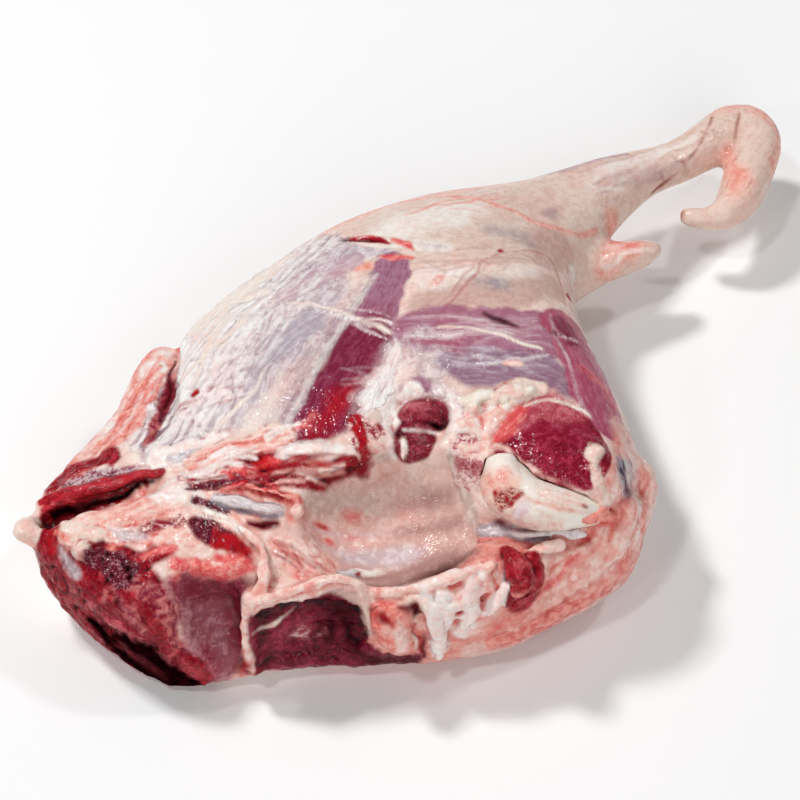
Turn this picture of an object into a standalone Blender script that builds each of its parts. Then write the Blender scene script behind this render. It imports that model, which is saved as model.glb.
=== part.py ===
"""Raw leg of lamb, chump end and hock left on, lying on its outer side.

The meat is one solid: a body lofted through cross sections from the chump to the hock, joined with
the heel, the cut tendon and the flank flap, carved with the pelvic cavity and the other hollows,
then given its ridges of fat. The sawn aitch bone is a second solid, set in a pocket in the rim of
the pelvic cavity.

Everything is drawn in millimetres on a leg 557 long, with +X towards the hock, +Y towards the flank
and +Z up, and is brought to its real length at the end, when the origin is set on the table under
the middle of the leg.
"""

import math

import bmesh
import bpy
import numpy as np
from mathutils import Vector

MM = 0.001

# Driving dimensions. LENGTH is the real one; the others are in drawn millimetres.
LENGTH = 480.0
POCKET_GAP = 0.35
RING_POINTS = 40
STATION_STEP = 8.0
TUBE_STEPS = 6
TUBE_ROUNDNESS = 6
LUMP_SEGMENTS = 28
LUMP_RINGS = 18
LEG_VOXEL = 3.0
BODY_ROUNDS = 10
RIDGE_ROUNDS = 7
LEG_TRIANGLES = 8400
BONE_VOXEL = 1.5
BONE_ROUNDS = 5
BONE_TRIANGLES = 700
WELD_DISTANCE = 0.01
TABLE_DEPTH = 100.0


class Section:
    """One cross section of the leg: where it stands, how far it reaches, and where it is widest."""

    def __init__(self, x, near, near_z, far, far_z, low, high, fullness=2.3):
        self.values = np.array([x, near, near_z, far, far_z, low, high, fullness])


# x; near edge and its height; far edge and its height; lowest and highest points.
SECTIONS = [
    Section(-219, 6, 26, 54, 46, 16, 60, 2.4),
    Section(-207, -36, 12, 74, 48, 0, 74, 2.5),
    Section(-185, -54, 12, 82, 48, -4, 78, 2.5),
    Section(-150, -76, 14, 88, 50, -6, 81, 2.4),
    Section(-120, -102, 15, 96, 50, -6, 87),
    Section(-90, -128, 16, 107, 50, -6, 98),
    Section(-60, -148, 19, 116, 52, -6, 104),
    Section(-30, -158, 24, 119, 54, -6, 107),
    Section(0, -166, 30, 119, 56, -6, 110),
    Section(25, -165, 36, 117, 58, -5, 113),
    Section(50, -144, 44, 113, 60, -3, 113),
    Section(70, -113, 50, 107, 62, 0, 110),
    Section(90, -70, 50, 100, 62, 4, 104),
    Section(110, -36, 50, 94, 60, 10, 97),
    Section(127, -16, 50, 87, 58, 16, 90),
    Section(145, -4, 49, 79, 56, 22, 84),
    Section(165, 4, 49, 71, 54, 26, 78),
    Section(190, 11, 48, 64, 52, 29, 73),
    Section(215, 16, 48, 58, 50, 31, 68),
    Section(240, 18, 48, 50, 48, 32, 62),
    Section(265, 12, 47, 40, 47, 32, 60),
    Section(290, 10, 46, 39, 46, 31, 61),
    Section(314, 12, 46, 40, 46, 32, 62),
]

# Tubes are rows of x, y, z and radius; lumps are a centre, three radii and a turn about +Z.
ADDED_TUBES = {
    "heel": [
        (300, 26, 46, 15),
        (317, 18, 46, 17),
        (312, 3, 46, 17),
        (292, -9, 45, 16),
        (272, -19, 44, 15),
        (254, -23, 43, 11),
        (242, -17, 42, 8),
        (233, -3, 42, 7),
    ],
    "cut_tendon": [
        (140, 4, 46, 16),
        (162, 0, 46, 14),
        (180, -9, 46, 11),
        (192, -14, 46, 9),
        (203, -17, 46, 5),
    ],
    "flank_roll": [
        (-192, 72, 54, 10),
        (-160, 80, 54, 11),
        (-125, 89, 52, 12),
        (-95, 106, 50, 14),
        (-74, 117, 48, 12),
    ],
    "rump_rim": [
        (-120, -88, 32, 14),
        (-80, -114, 34, 18),
        (-30, -134, 42, 22),
        (12, -143, 48, 22),
        (42, -136, 56, 19),
        (54, -126, 64, 14),
    ],
}
ADDED_LUMPS = {
    "symphysis_muscle": ((9, -112, 86), (28, 38, 21), 20),
    "chump_knob": ((-216, 63, 62), (10, 9, 8), 0),
}
CARVED_TUBES = {
    "obturator_channel": [(-50, -104, 78, 10), (-38, -122, 82, 9), (-19, -143, 76, 7), (2, -155, 66, 5)],
    "chump_hollow": [(-182, -30, 84, 14), (-178, -52, 62, 20), (-182, -64, 38, 17), (-184, -68, 14, 13)],
    "flank_groove": [(-66, 118, 60, 6), (-96, 92, 72, 9), (-114, 70, 79, 9), (-134, 54, 82, 6)],
    "chump_slit": [(-210, 60, 60, 7), (-188, 49, 70, 8), (-168, 38, 76, 8), (-148, 27, 80, 6)],
}
CARVED_LUMPS = {
    "pelvic_cavity": ((-83, -84, 104), (58, 45, 46), -35),
    "stump_hole": ((-33, -49, 106), (18, 20, 15), -20),
    "rump_window": ((-142, -92, 40), (31, 15, 23), -38),
    "rim_dent": ((43, -150, 74), (13, 11, 13), 30),
}
RIDGE_TUBES = {
    "window_ridge": [(-160, -55, 66, 5), (-140, -68, 66, 6), (-122, -82, 66, 6), (-110, -94, 62, 6)],
    "hollow_ridge": [(-158, -52, 68, 5), (-164, -60, 54, 5), (-168, -63, 38, 5), (-166, -66, 18, 6)],
    "cavity_strand": [(-106, -12, 92, 4), (-92, -22, 95, 7), (-78, -33, 97, 6), (-70, -44, 95, 4)],
}
RIDGE_LUMPS = {
    "stump_muscle": ((-31, -47, 98), (12, 12, 9), -20),
    "window_fat": ((-106, -106, 50), (12, 11, 15), -36),
    "rim_fat": ((-84, -116, 60), (17, 9, 11), -28),
    "rim_meat": ((-42, -139, 62), (17, 11, 14), -18),
}
BONE_TUBE = [
    (-16, -95, 98, 8),
    (-24, -108, 94, 13),
    (-22, -121, 90, 14),
    (-14, -131, 87, 13),
    (-4, -139, 84, 11),
    (8, -148, 79, 6),
]
BONE_HEAD = ((-24, -110, 93), (15, 18, 12), -20)


def clear_scene():
    for obj in list(bpy.data.objects):
        bpy.data.objects.remove(obj, do_unlink=True)


def collection(name):
    made = bpy.data.collections.new(name)
    bpy.context.scene.collection.children.link(made)
    return made


def smooth_rows(points, pieces_between):
    """Rows of numbers along a smooth curve through the points."""
    points = np.asarray(points, float)
    padded = np.vstack([2 * points[0] - points[1], points, 2 * points[-1] - points[-2]])
    rows = []
    for a, b, c, d in zip(padded, padded[1:], padded[2:], padded[3:]):
        pieces = pieces_between(b, c)
        for t in np.arange(pieces) / pieces:
            cubic = (3 * b - a - 3 * c + d) * t**3
            rows.append((2 * b + (c - a) * t + (2 * a - 5 * b + 4 * c - d) * t**2 + cubic) / 2)
    rows.append(points[-1])
    return np.array(rows)


def ring(x, near, near_z, far, far_z, low, high, fullness):
    """The points of one cross section, anticlockwise seen from the hock."""
    points = []
    for k in range(RING_POINTS):
        angle = 2 * math.pi * k / RING_POINTS
        c, s = math.cos(angle), math.sin(angle)
        across = math.copysign(abs(c) ** (2 / fullness), c)
        rise = math.copysign(abs(s) ** (2 / fullness), s)
        y = (near + far) / 2 + (far - near) / 2 * across
        widest = (near_z + far_z) / 2 + (far_z - near_z) / 2 * across
        z = widest + rise * (high - widest if s > 0 else widest - low)
        points.append(Vector((x, y, z)) * MM)
    return points


def object_from(bm, name):
    mesh = bpy.data.meshes.new(name)
    bm.to_mesh(mesh)
    bm.free()
    return bpy.data.objects.new(name, mesh)


def lofted_body():
    """The skin over all the cross sections, closed at both ends."""
    rows = smooth_rows(
        [section.values for section in SECTIONS],
        lambda b, c: max(1, round((c[0] - b[0]) / STATION_STEP)),
    )
    bm = bmesh.new()
    rings = [[bm.verts.new(point) for point in ring(*row)] for row in rows]
    for first, second in zip(rings, rings[1:]):
        for k in range(RING_POINTS):
            n = (k + 1) % RING_POINTS
            bm.faces.new((first[k], second[k], second[n], first[n]))
    bm.faces.new(rings[0])
    bm.faces.new(rings[-1][::-1])
    bmesh.ops.recalc_face_normals(bm, faces=bm.faces)
    return object_from(bm, "body")


def evaluated_copy(obj, name):
    """The object as its modifiers leave it, as a plain welded mesh; the object itself is removed."""
    if not obj.users_collection:
        bpy.context.scene.collection.objects.link(obj)
    bpy.context.view_layer.update()
    graph = bpy.context.evaluated_depsgraph_get()
    mesh = bpy.data.meshes.new_from_object(obj.evaluated_get(graph))
    bm = bmesh.new()
    bm.from_mesh(mesh)
    bmesh.ops.remove_doubles(bm, verts=bm.verts, dist=WELD_DISTANCE * MM)
    bpy.data.objects.remove(obj, do_unlink=True)
    return object_from(bm, name)


def tapered_tube(name, rows):
    """A round tube with closed ends along rows of x, y, z and radius."""
    curve = bpy.data.curves.new(name, "CURVE")
    curve.dimensions = "3D"
    curve.bevel_depth = MM
    curve.bevel_resolution = TUBE_ROUNDNESS
    curve.use_fill_caps = True
    spline = curve.splines.new("POLY")
    rows = smooth_rows(rows, lambda b, c: TUBE_STEPS)
    spline.points.add(len(rows) - 1)
    for point, (x, y, z, radius) in zip(spline.points, rows):
        point.co = (x * MM, y * MM, z * MM, 1)
        point.radius = radius
    return evaluated_copy(bpy.data.objects.new(name, curve), name)


def lump(name, centre, radii, turn):
    """An ellipsoid, turned about +Z by a number of degrees."""
    bm = bmesh.new()
    bmesh.ops.create_uvsphere(bm, u_segments=LUMP_SEGMENTS, v_segments=LUMP_RINGS, radius=1.0)
    bmesh.ops.scale(bm, verts=bm.verts, vec=Vector(radii) * MM)
    c, s = math.cos(math.radians(turn)), math.sin(math.radians(turn))
    for vert in bm.verts:
        x, y, z = vert.co
        vert.co = Vector((c * x - s * y, s * x + c * y, z)) + Vector(centre) * MM
    return object_from(bm, name)


def shapes(tubes, lumps):
    made = [tapered_tube(name, rows) for name, rows in tubes.items()]
    return made + [lump(name, *values) for name, values in lumps.items()]


def skinned(name, pieces, voxel, rounds):
    """One closed skin over overlapping pieces, softened by a number of rounds."""
    bm = bmesh.new()
    for piece in pieces:
        bm.from_mesh(piece.data)
        bpy.data.objects.remove(piece, do_unlink=True)
    obj = object_from(bm, name)
    remesh = obj.modifiers.new("skin", "REMESH")
    remesh.mode = "VOXEL"
    remesh.voxel_size = voxel * MM
    smooth = obj.modifiers.new("soften", "SMOOTH")
    smooth.iterations = rounds
    smooth.factor = 0.5
    return evaluated_copy(obj, name)


def carved(obj, cutters):
    """The object with each cutter's volume taken away."""
    for cutter in cutters:
        cut = obj.modifiers.new(cutter.name, "BOOLEAN")
        cut.operation = "DIFFERENCE"
        cut.solver = "EXACT"
        cut.object = cutter
    return evaluated_copy(obj, obj.name)


def thinned(obj, most):
    """The object with its flatter triangles merged until about that many are left."""
    triangulate = obj.modifiers.new("triangles", "TRIANGULATE")
    triangulate.quad_method = "BEAUTY"
    thin = obj.modifiers.new("thin", "DECIMATE")
    thin.ratio = most / (2 * len(obj.data.polygons))
    return evaluated_copy(obj, obj.name)


def floor_box():
    """The table, from its top at the drawn height of zero down; wider than the leg is long."""
    depth = TABLE_DEPTH * MM
    bm = bmesh.new()
    bmesh.ops.create_cube(bm, size=1.0)
    box = object_from(bm, "table")
    for vert in box.data.vertices:
        vert.co.z = (vert.co.z - 0.5) * depth
    return box


def material(name, colour, roughness):
    made = bpy.data.materials.new(name)
    made.use_nodes = True
    shader = made.node_tree.nodes["Principled BSDF"]
    shader.inputs["Base Color"].default_value = (*colour, 1)
    shader.inputs["Roughness"].default_value = roughness
    shader.inputs["Metallic"].default_value = 0.0
    return made


def main():
    clear_scene()
    parts = collection("leg_of_lamb")
    cutters = collection("cutters")

    leg = skinned("leg", [lofted_body()] + shapes(ADDED_TUBES, ADDED_LUMPS), LEG_VOXEL, BODY_ROUNDS)
    hollows = shapes(CARVED_TUBES, CARVED_LUMPS)
    for hollow in hollows:
        cutters.objects.link(hollow)
    leg = carved(leg, hollows)
    leg = skinned("leg", [leg] + shapes(RIDGE_TUBES, RIDGE_LUMPS), LEG_VOXEL, RIDGE_ROUNDS)
    leg = thinned(leg, LEG_TRIANGLES)

    bone_pieces = [tapered_tube("shaft", BONE_TUBE), lump("head", *BONE_HEAD)]
    bone = skinned("aitch_bone", bone_pieces, BONE_VOXEL, BONE_ROUNDS)
    bone = thinned(bone, BONE_TRIANGLES)
    pocket = bone.copy()
    pocket.data = bone.data.copy()
    swell = pocket.modifiers.new("gap", "DISPLACE")
    swell.mid_level = 0.0
    swell.strength = POCKET_GAP * MM
    pocket = evaluated_copy(pocket, "bone_pocket")
    table = floor_box()
    for cutter in (pocket, table):
        cutters.objects.link(cutter)
    leg = carved(leg, [table, pocket])

    corners = np.array([vert.co for vert in leg.data.vertices])
    middle = (corners.min(0) + corners.max(0)) / 2
    scale = LENGTH * MM / np.ptp(corners[:, 0])
    shift = Vector((-middle[0], -middle[1], 0))
    for obj in (leg, bone, *cutters.objects):
        for vert in obj.data.vertices:
            vert.co = (vert.co + shift) * scale
    for obj in (leg, bone):
        parts.objects.link(obj)
    leg.data.materials.append(material("meat", (0.55, 0.22, 0.19), 0.35))
    bone.data.materials.append(material("bone", (0.80, 0.66, 0.58), 0.45))
    for cutter in cutters.objects:
        cutter.hide_render = True
        cutter.display_type = "WIRE"


main()
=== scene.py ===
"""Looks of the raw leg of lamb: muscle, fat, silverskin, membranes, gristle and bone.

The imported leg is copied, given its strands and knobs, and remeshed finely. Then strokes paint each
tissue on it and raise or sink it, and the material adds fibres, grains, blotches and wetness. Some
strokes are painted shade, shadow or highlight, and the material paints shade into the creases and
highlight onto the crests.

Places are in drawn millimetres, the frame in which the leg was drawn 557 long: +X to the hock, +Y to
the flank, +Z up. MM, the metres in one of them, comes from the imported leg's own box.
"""

import math
import random

import bmesh
import bpy
import numpy as np
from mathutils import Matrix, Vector


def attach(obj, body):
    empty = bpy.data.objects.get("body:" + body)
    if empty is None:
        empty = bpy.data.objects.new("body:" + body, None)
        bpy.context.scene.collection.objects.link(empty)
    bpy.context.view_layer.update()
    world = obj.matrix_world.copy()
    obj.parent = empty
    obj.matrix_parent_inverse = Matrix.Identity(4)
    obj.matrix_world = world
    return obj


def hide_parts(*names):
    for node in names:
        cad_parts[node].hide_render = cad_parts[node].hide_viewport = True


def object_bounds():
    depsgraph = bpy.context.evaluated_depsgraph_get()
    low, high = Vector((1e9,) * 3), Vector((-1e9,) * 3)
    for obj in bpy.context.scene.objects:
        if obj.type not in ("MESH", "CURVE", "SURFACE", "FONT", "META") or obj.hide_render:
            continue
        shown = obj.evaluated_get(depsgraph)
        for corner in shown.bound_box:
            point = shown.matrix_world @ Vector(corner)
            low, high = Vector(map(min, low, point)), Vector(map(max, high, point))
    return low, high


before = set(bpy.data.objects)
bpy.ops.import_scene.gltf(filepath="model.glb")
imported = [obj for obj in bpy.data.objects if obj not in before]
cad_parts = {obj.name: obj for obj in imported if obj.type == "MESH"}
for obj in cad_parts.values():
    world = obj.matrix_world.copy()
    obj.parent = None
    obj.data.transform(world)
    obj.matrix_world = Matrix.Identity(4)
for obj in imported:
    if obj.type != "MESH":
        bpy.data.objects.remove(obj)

CAD_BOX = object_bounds()
DRAWN_LENGTH = 556.7
DRAWN_MIDDLE = np.array([55.0, -21.0, 0.0])
MM = (CAD_BOX[1].x - CAD_BOX[0].x) / DRAWN_LENGTH

# The fine skins: the size of their voxels and how often they are smoothed.
LEG_VOXEL, LEG_SMOOTHING = 1.15, 4
BONE_VOXEL, BONE_SMOOTHING = 0.9, 2
BELOW = -0.3                # normals with less height than this face down
THINNED = 0.8               # the share of triangles that goes where they face down

# Strokes: how much height counts against distance across, and how even they are.
HEIGHT_WEIGHT = 0.6
SURFACE_WEIGHT = 0.12       # for strands that lie on the surface wherever it is
ROW_STEP = 7.0
EDGE_SIZE = 4               # of the bays along an edge, which grow with its raggedness
REACH_MARGIN = 3            # past what a stroke covers, so that its edge fades out
UNEVEN_SIZE, UNEVENNESS = 8.0, 0.4
DRIFT_SIZE = 16.0
DRIFT = np.array([2.0, 2.0, 0.8])

# Strands and lumps that are scattered over a wide band.
STRAND_SPREAD = 0.9         # how far aside of the band's middle they run, in radii
STRAND_ENDS = 0.4           # the smaller, the finer their ends
STRAND_WIDTHS = 0.5, 1.3    # the thinnest and the thickest, in widths
LUMP_STEP = 3.0
LUMP_SIZES = 0.5, 1.4       # the smallest and the largest, in sizes
LUMP_LENGTH = 1.4
LUMP_REACH = 6              # at least this far up and down, so that they meet the surface

# Raised strokes: flattened tubes with domed ends, which reach a little past their radius.
TUBE_STEPS = 12
TUBE_ROW_STEP = 2.5
FLATTEN = 0.7
DOME = ((0.95, 0.3), (0.6, 0.75))       # how far past the end and how wide, in radii
RAISED_MARGIN = 1.0

# The grain of the meat, which wide strokes turn their own way.
GRAIN_STRETCH = 0.14
GRAIN_JUMP = 3.0
THIN = 2.5
GRAIN_SHIFT = 31.0          # keeps the grain of one stroke apart from the next one's

# Relief: how wide and how deep folds, knobs, grains, furrows and wrinkles are.
FOLD_SIZE, FOLD_DEPTH = 17.0, 2.0
LOBE_SIZE, LUMP_LEVEL = 7.0, -1.7       # the level brings the average of the lumps to about zero
WANDER_SIZE, WANDER = 1.4, 0.55         # how folds and lobes bend, in their own sizes
CREASE_ROUNDING = 0.01
KNOB_SIZE, KNOB_DEPTH = 4.5, 0.35
GRAIN_SIZE, GRAIN_DEPTH = 3.2, 0.8
FURROW_SIZE, FURROW_DEPTH, FURROW_LEVEL = 6.0, 1.3, 0.5
WRINKLE_SIZE, WRINKLE_DEPTH = 2.6, 0.5
FLAT_BOTTOM, BOTTOM_BLEND = 1.0, 6.0    # no relief up to here, and all of it so much higher
NEAR_ROUNDS, WIDE_ROUNDS = 8, 40        # of evening, for narrow and for wide creases, whose depth sets the painted shade
MOST_CREST = -0.4                       # crests above this height look alike, with no more painted highlight


# ---------------------------------------------------------------- places and shapes


def at(point):
    """A drawn place, or rows of them, in metres."""
    return (np.asarray(point, float)[..., :3] - DRAWN_MIDDLE) * MM


def drawn(points):
    """Places in metres as drawn ones."""
    return np.asarray(points, float) / MM + DRAWN_MIDDLE


def smooth_rows(rows, step):
    """Rows of numbers about a step apart along a smooth curve through the given rows."""
    rows = np.asarray(rows, float)
    padded = np.vstack([2 * rows[0] - rows[1], rows, 2 * rows[-1] - rows[-2]])
    made = []
    for a, b, c, d in zip(padded, padded[1:], padded[2:], padded[3:]):
        pieces = max(1, round(np.linalg.norm((c - b)[:3]) / step))
        for t in np.arange(pieces) / pieces:
            cubic = (3 * b - a - 3 * c + d) * t**3
            made.append((2 * b + (c - a) * t + (2 * a - 5 * b + 4 * c - d) * t**2 + cubic) / 2)
    made.append(rows[-1])
    return np.array(made)


def unit(vector):
    return vector / np.linalg.norm(vector)


def dome(row, outward):
    """The rows of a domed end beyond the row, tip first."""
    return [np.append(row[:3] + unit(outward) * row[3] * past, row[3] * wide) for past, wide in DOME]


class Band:
    """A stroke along rows of x, y, z and radius."""

    def __init__(self, *rows, weight=HEIGHT_WEIGHT):
        self.rows = smooth_rows(rows, ROW_STEP)
        self.rows[:, 3] *= 1 + UNEVENNESS * noise(self.rows[:, :3], UNEVEN_SIZE, 47, 2)
        self.weights = np.array([1, 1, weight])

    def reach(self, margin):
        margin = (self.rows[:, 3].max() + margin) / self.weights
        return self.rows[:, :3].min(0) - margin, self.rows[:, :3].max(0) + margin

    def width(self):
        return self.rows[:, 3].max()

    def measure(self, points):
        """Distance outside the stroke, distance along it and distance aside of its middle."""
        best = np.full(len(points), np.inf)
        along, aside = np.zeros(len(points)), np.zeros(len(points))
        start = 0.0
        for a, b in zip(self.rows, self.rows[1:]):
            step = (b - a)[:3] * self.weights
            length = np.linalg.norm(step)
            offset = (points - a[:3]) * self.weights
            t = np.clip(offset @ step / length**2, 0, 1)
            gap = offset - t[:, None] * step
            distance = np.linalg.norm(gap, axis=1) - (a[3] + t * (b[3] - a[3]))
            nearer = distance < best
            side = np.array([step[1], -step[0], 0]) / length
            best = np.where(nearer, distance, best)
            along = np.where(nearer, start + t * length, along)
            aside = np.where(nearer, gap @ side, aside)
            start += length
        return best, along, aside

    def add_to(self, bm):
        """A closed tube, wider than high, with domed ends."""
        rows = smooth_rows(self.rows, TUBE_ROW_STEP)
        rows[:, :3] -= drift(rows[:, :3])
        ways = np.gradient(rows[:, :3], axis=0)
        rows = np.vstack([dome(rows[0], -ways[0]), rows, dome(rows[-1], ways[-1])[::-1]])
        turns = [2 * math.pi * k / TUBE_STEPS for k in range(TUBE_STEPS)]
        rings = []
        for row, way in zip(rows, np.gradient(rows[:, :3], axis=0)):
            side = unit(np.cross(way, (0, 0, 1)))
            over = unit(np.cross(side, way))
            ring = [row[:3] + row[3] * (math.cos(a) * side + FLATTEN * math.sin(a) * over) for a in turns]
            rings.append([bm.verts.new(at(point)) for point in ring])
        for one, two in zip(rings, rings[1:]):
            for k in range(TUBE_STEPS):
                n = (k + 1) % TUBE_STEPS
                bm.faces.new((one[k], one[n], two[n], two[k]))
        bm.faces.new(rings[0][::-1])
        bm.faces.new(rings[-1])


class Blob:
    """An ellipsoid: centre, radii and a turn about +Z in degrees."""

    def __init__(self, centre, radii, turn=0):
        self.centre, self.radii = np.array(centre, float), np.array(radii, float)
        c, s = math.cos(math.radians(turn)), math.sin(math.radians(turn))
        self.axes = np.array([[c, s, 0], [-s, c, 0], [0, 0, 1]])

    def reach(self, margin):
        return self.centre - self.radii.max() - margin, self.centre + self.radii.max() + margin

    def width(self):
        return self.radii.min()

    def measure(self, points):
        """Distance outside the ellipsoid, and along and aside of its middle."""
        own = (points - self.centre) @ self.axes.T
        distance = (np.linalg.norm(own / self.radii, axis=1) - 1) * self.radii.min()
        return distance, own[:, 0], own[:, 1]

    def add_to(self, bm):
        made = bmesh.ops.create_icosphere(bm, subdivisions=3, radius=1.0)["verts"]
        centre = self.centre - drift(self.centre[None])[0]
        for vert in made:
            vert.co = Vector(at((np.array(vert.co) * self.radii) @ self.axes + centre))


# ---------------------------------------------------------------- noise


def cell_value(cells, seed):
    """A repeatable number from -1 to 1 for each whole-number cell."""
    n = cells[:, 0] * 73856093 ^ cells[:, 1] * 19349663 ^ cells[:, 2] * 83492791 ^ seed * 2654435761
    n &= 0xFFFFFFFF
    n = (n ^ n >> 15) * 2246822519 & 0xFFFFFFFF
    n = (n ^ n >> 13) * 3266489917 & 0xFFFFFFFF
    return (n ^ n >> 16) / 2147483647.5 - 1


def noise(points, size, seed=0, octaves=3):
    """Fractal noise, from about -1 to 1, whose widest blobs measure size.

    Each octave is half as wide and half as strong as the last, and has its own cells. The 1.4 makes
    up for the averaging between the corners of a cell.
    """
    total, weights = np.zeros(len(points)), 0.0
    for k in range(octaves):
        spots = points * (2.0**k / size) + 17.3 * k
        cells = np.floor(spots).astype(np.int64)
        part = spots - cells
        part = part * part * (3 - 2 * part)
        for corner in range(8):
            step = np.array([corner & 1, corner >> 1 & 1, corner >> 2 & 1])
            weight = np.prod(np.where(step, part, 1 - part), axis=1)
            total += weight * cell_value(cells + step, seed + k) * 0.5**k
        weights += 0.5**k
    return total / weights * 1.4


def drift(points):
    """A gentle wander, so that nothing on the leg is quite straight or round."""
    return np.stack([noise(points, DRIFT_SIZE, seed, 2) for seed in (41, 42, 43)], axis=1) * DRIFT


def smoothstep(x):
    x = np.clip(x, 0, 1)
    return x * x * (3 - 2 * x)


# ---------------------------------------------------------------- tissues


def linear(text):
    """A colour such as d8b0a0, as it looks on a screen, in linear red, green and blue."""
    values = np.array([int(text[k : k + 2], 16) for k in (0, 2, 4)]) / 255
    return np.where(values < 0.04045, values / 12.92, ((values + 0.055) / 1.055) ** 2.4)


class Tissue:
    """Two colours and the share of the second, and a third in its creases: its own tint there and painted
    shade.

    Streaks, from 0 to 1, say how far the two colours follow the grain, and cut how far they follow
    the little grains of a cut muscle. Lumps, grains and furrows are relief in drawn millimetres, and
    gloss is how much of a wet coat there is.
    """

    def __init__(self, one, two, crease_tint_and_shade, share, streaks, cut=0.0, lumps=0.0, grains=0.0, furrows=0.0,
                 gloss=0.9):
        looks = [share, streaks, cut, lumps, grains, furrows, gloss]
        self.values = np.concatenate([linear(one), linear(two), linear(crease_tint_and_shade), looks])


FIRST, SECOND, CREASE_TINT_AND_SHADE = slice(0, 3), slice(3, 6), slice(6, 9)
SHARE, STREAKS, CUT, LUMPS, GRAINS, FURROWS, GLOSS = range(9, 16)

# The third colour of each tissue fills its creases: partly its own tint there, partly painted shade.
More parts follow.
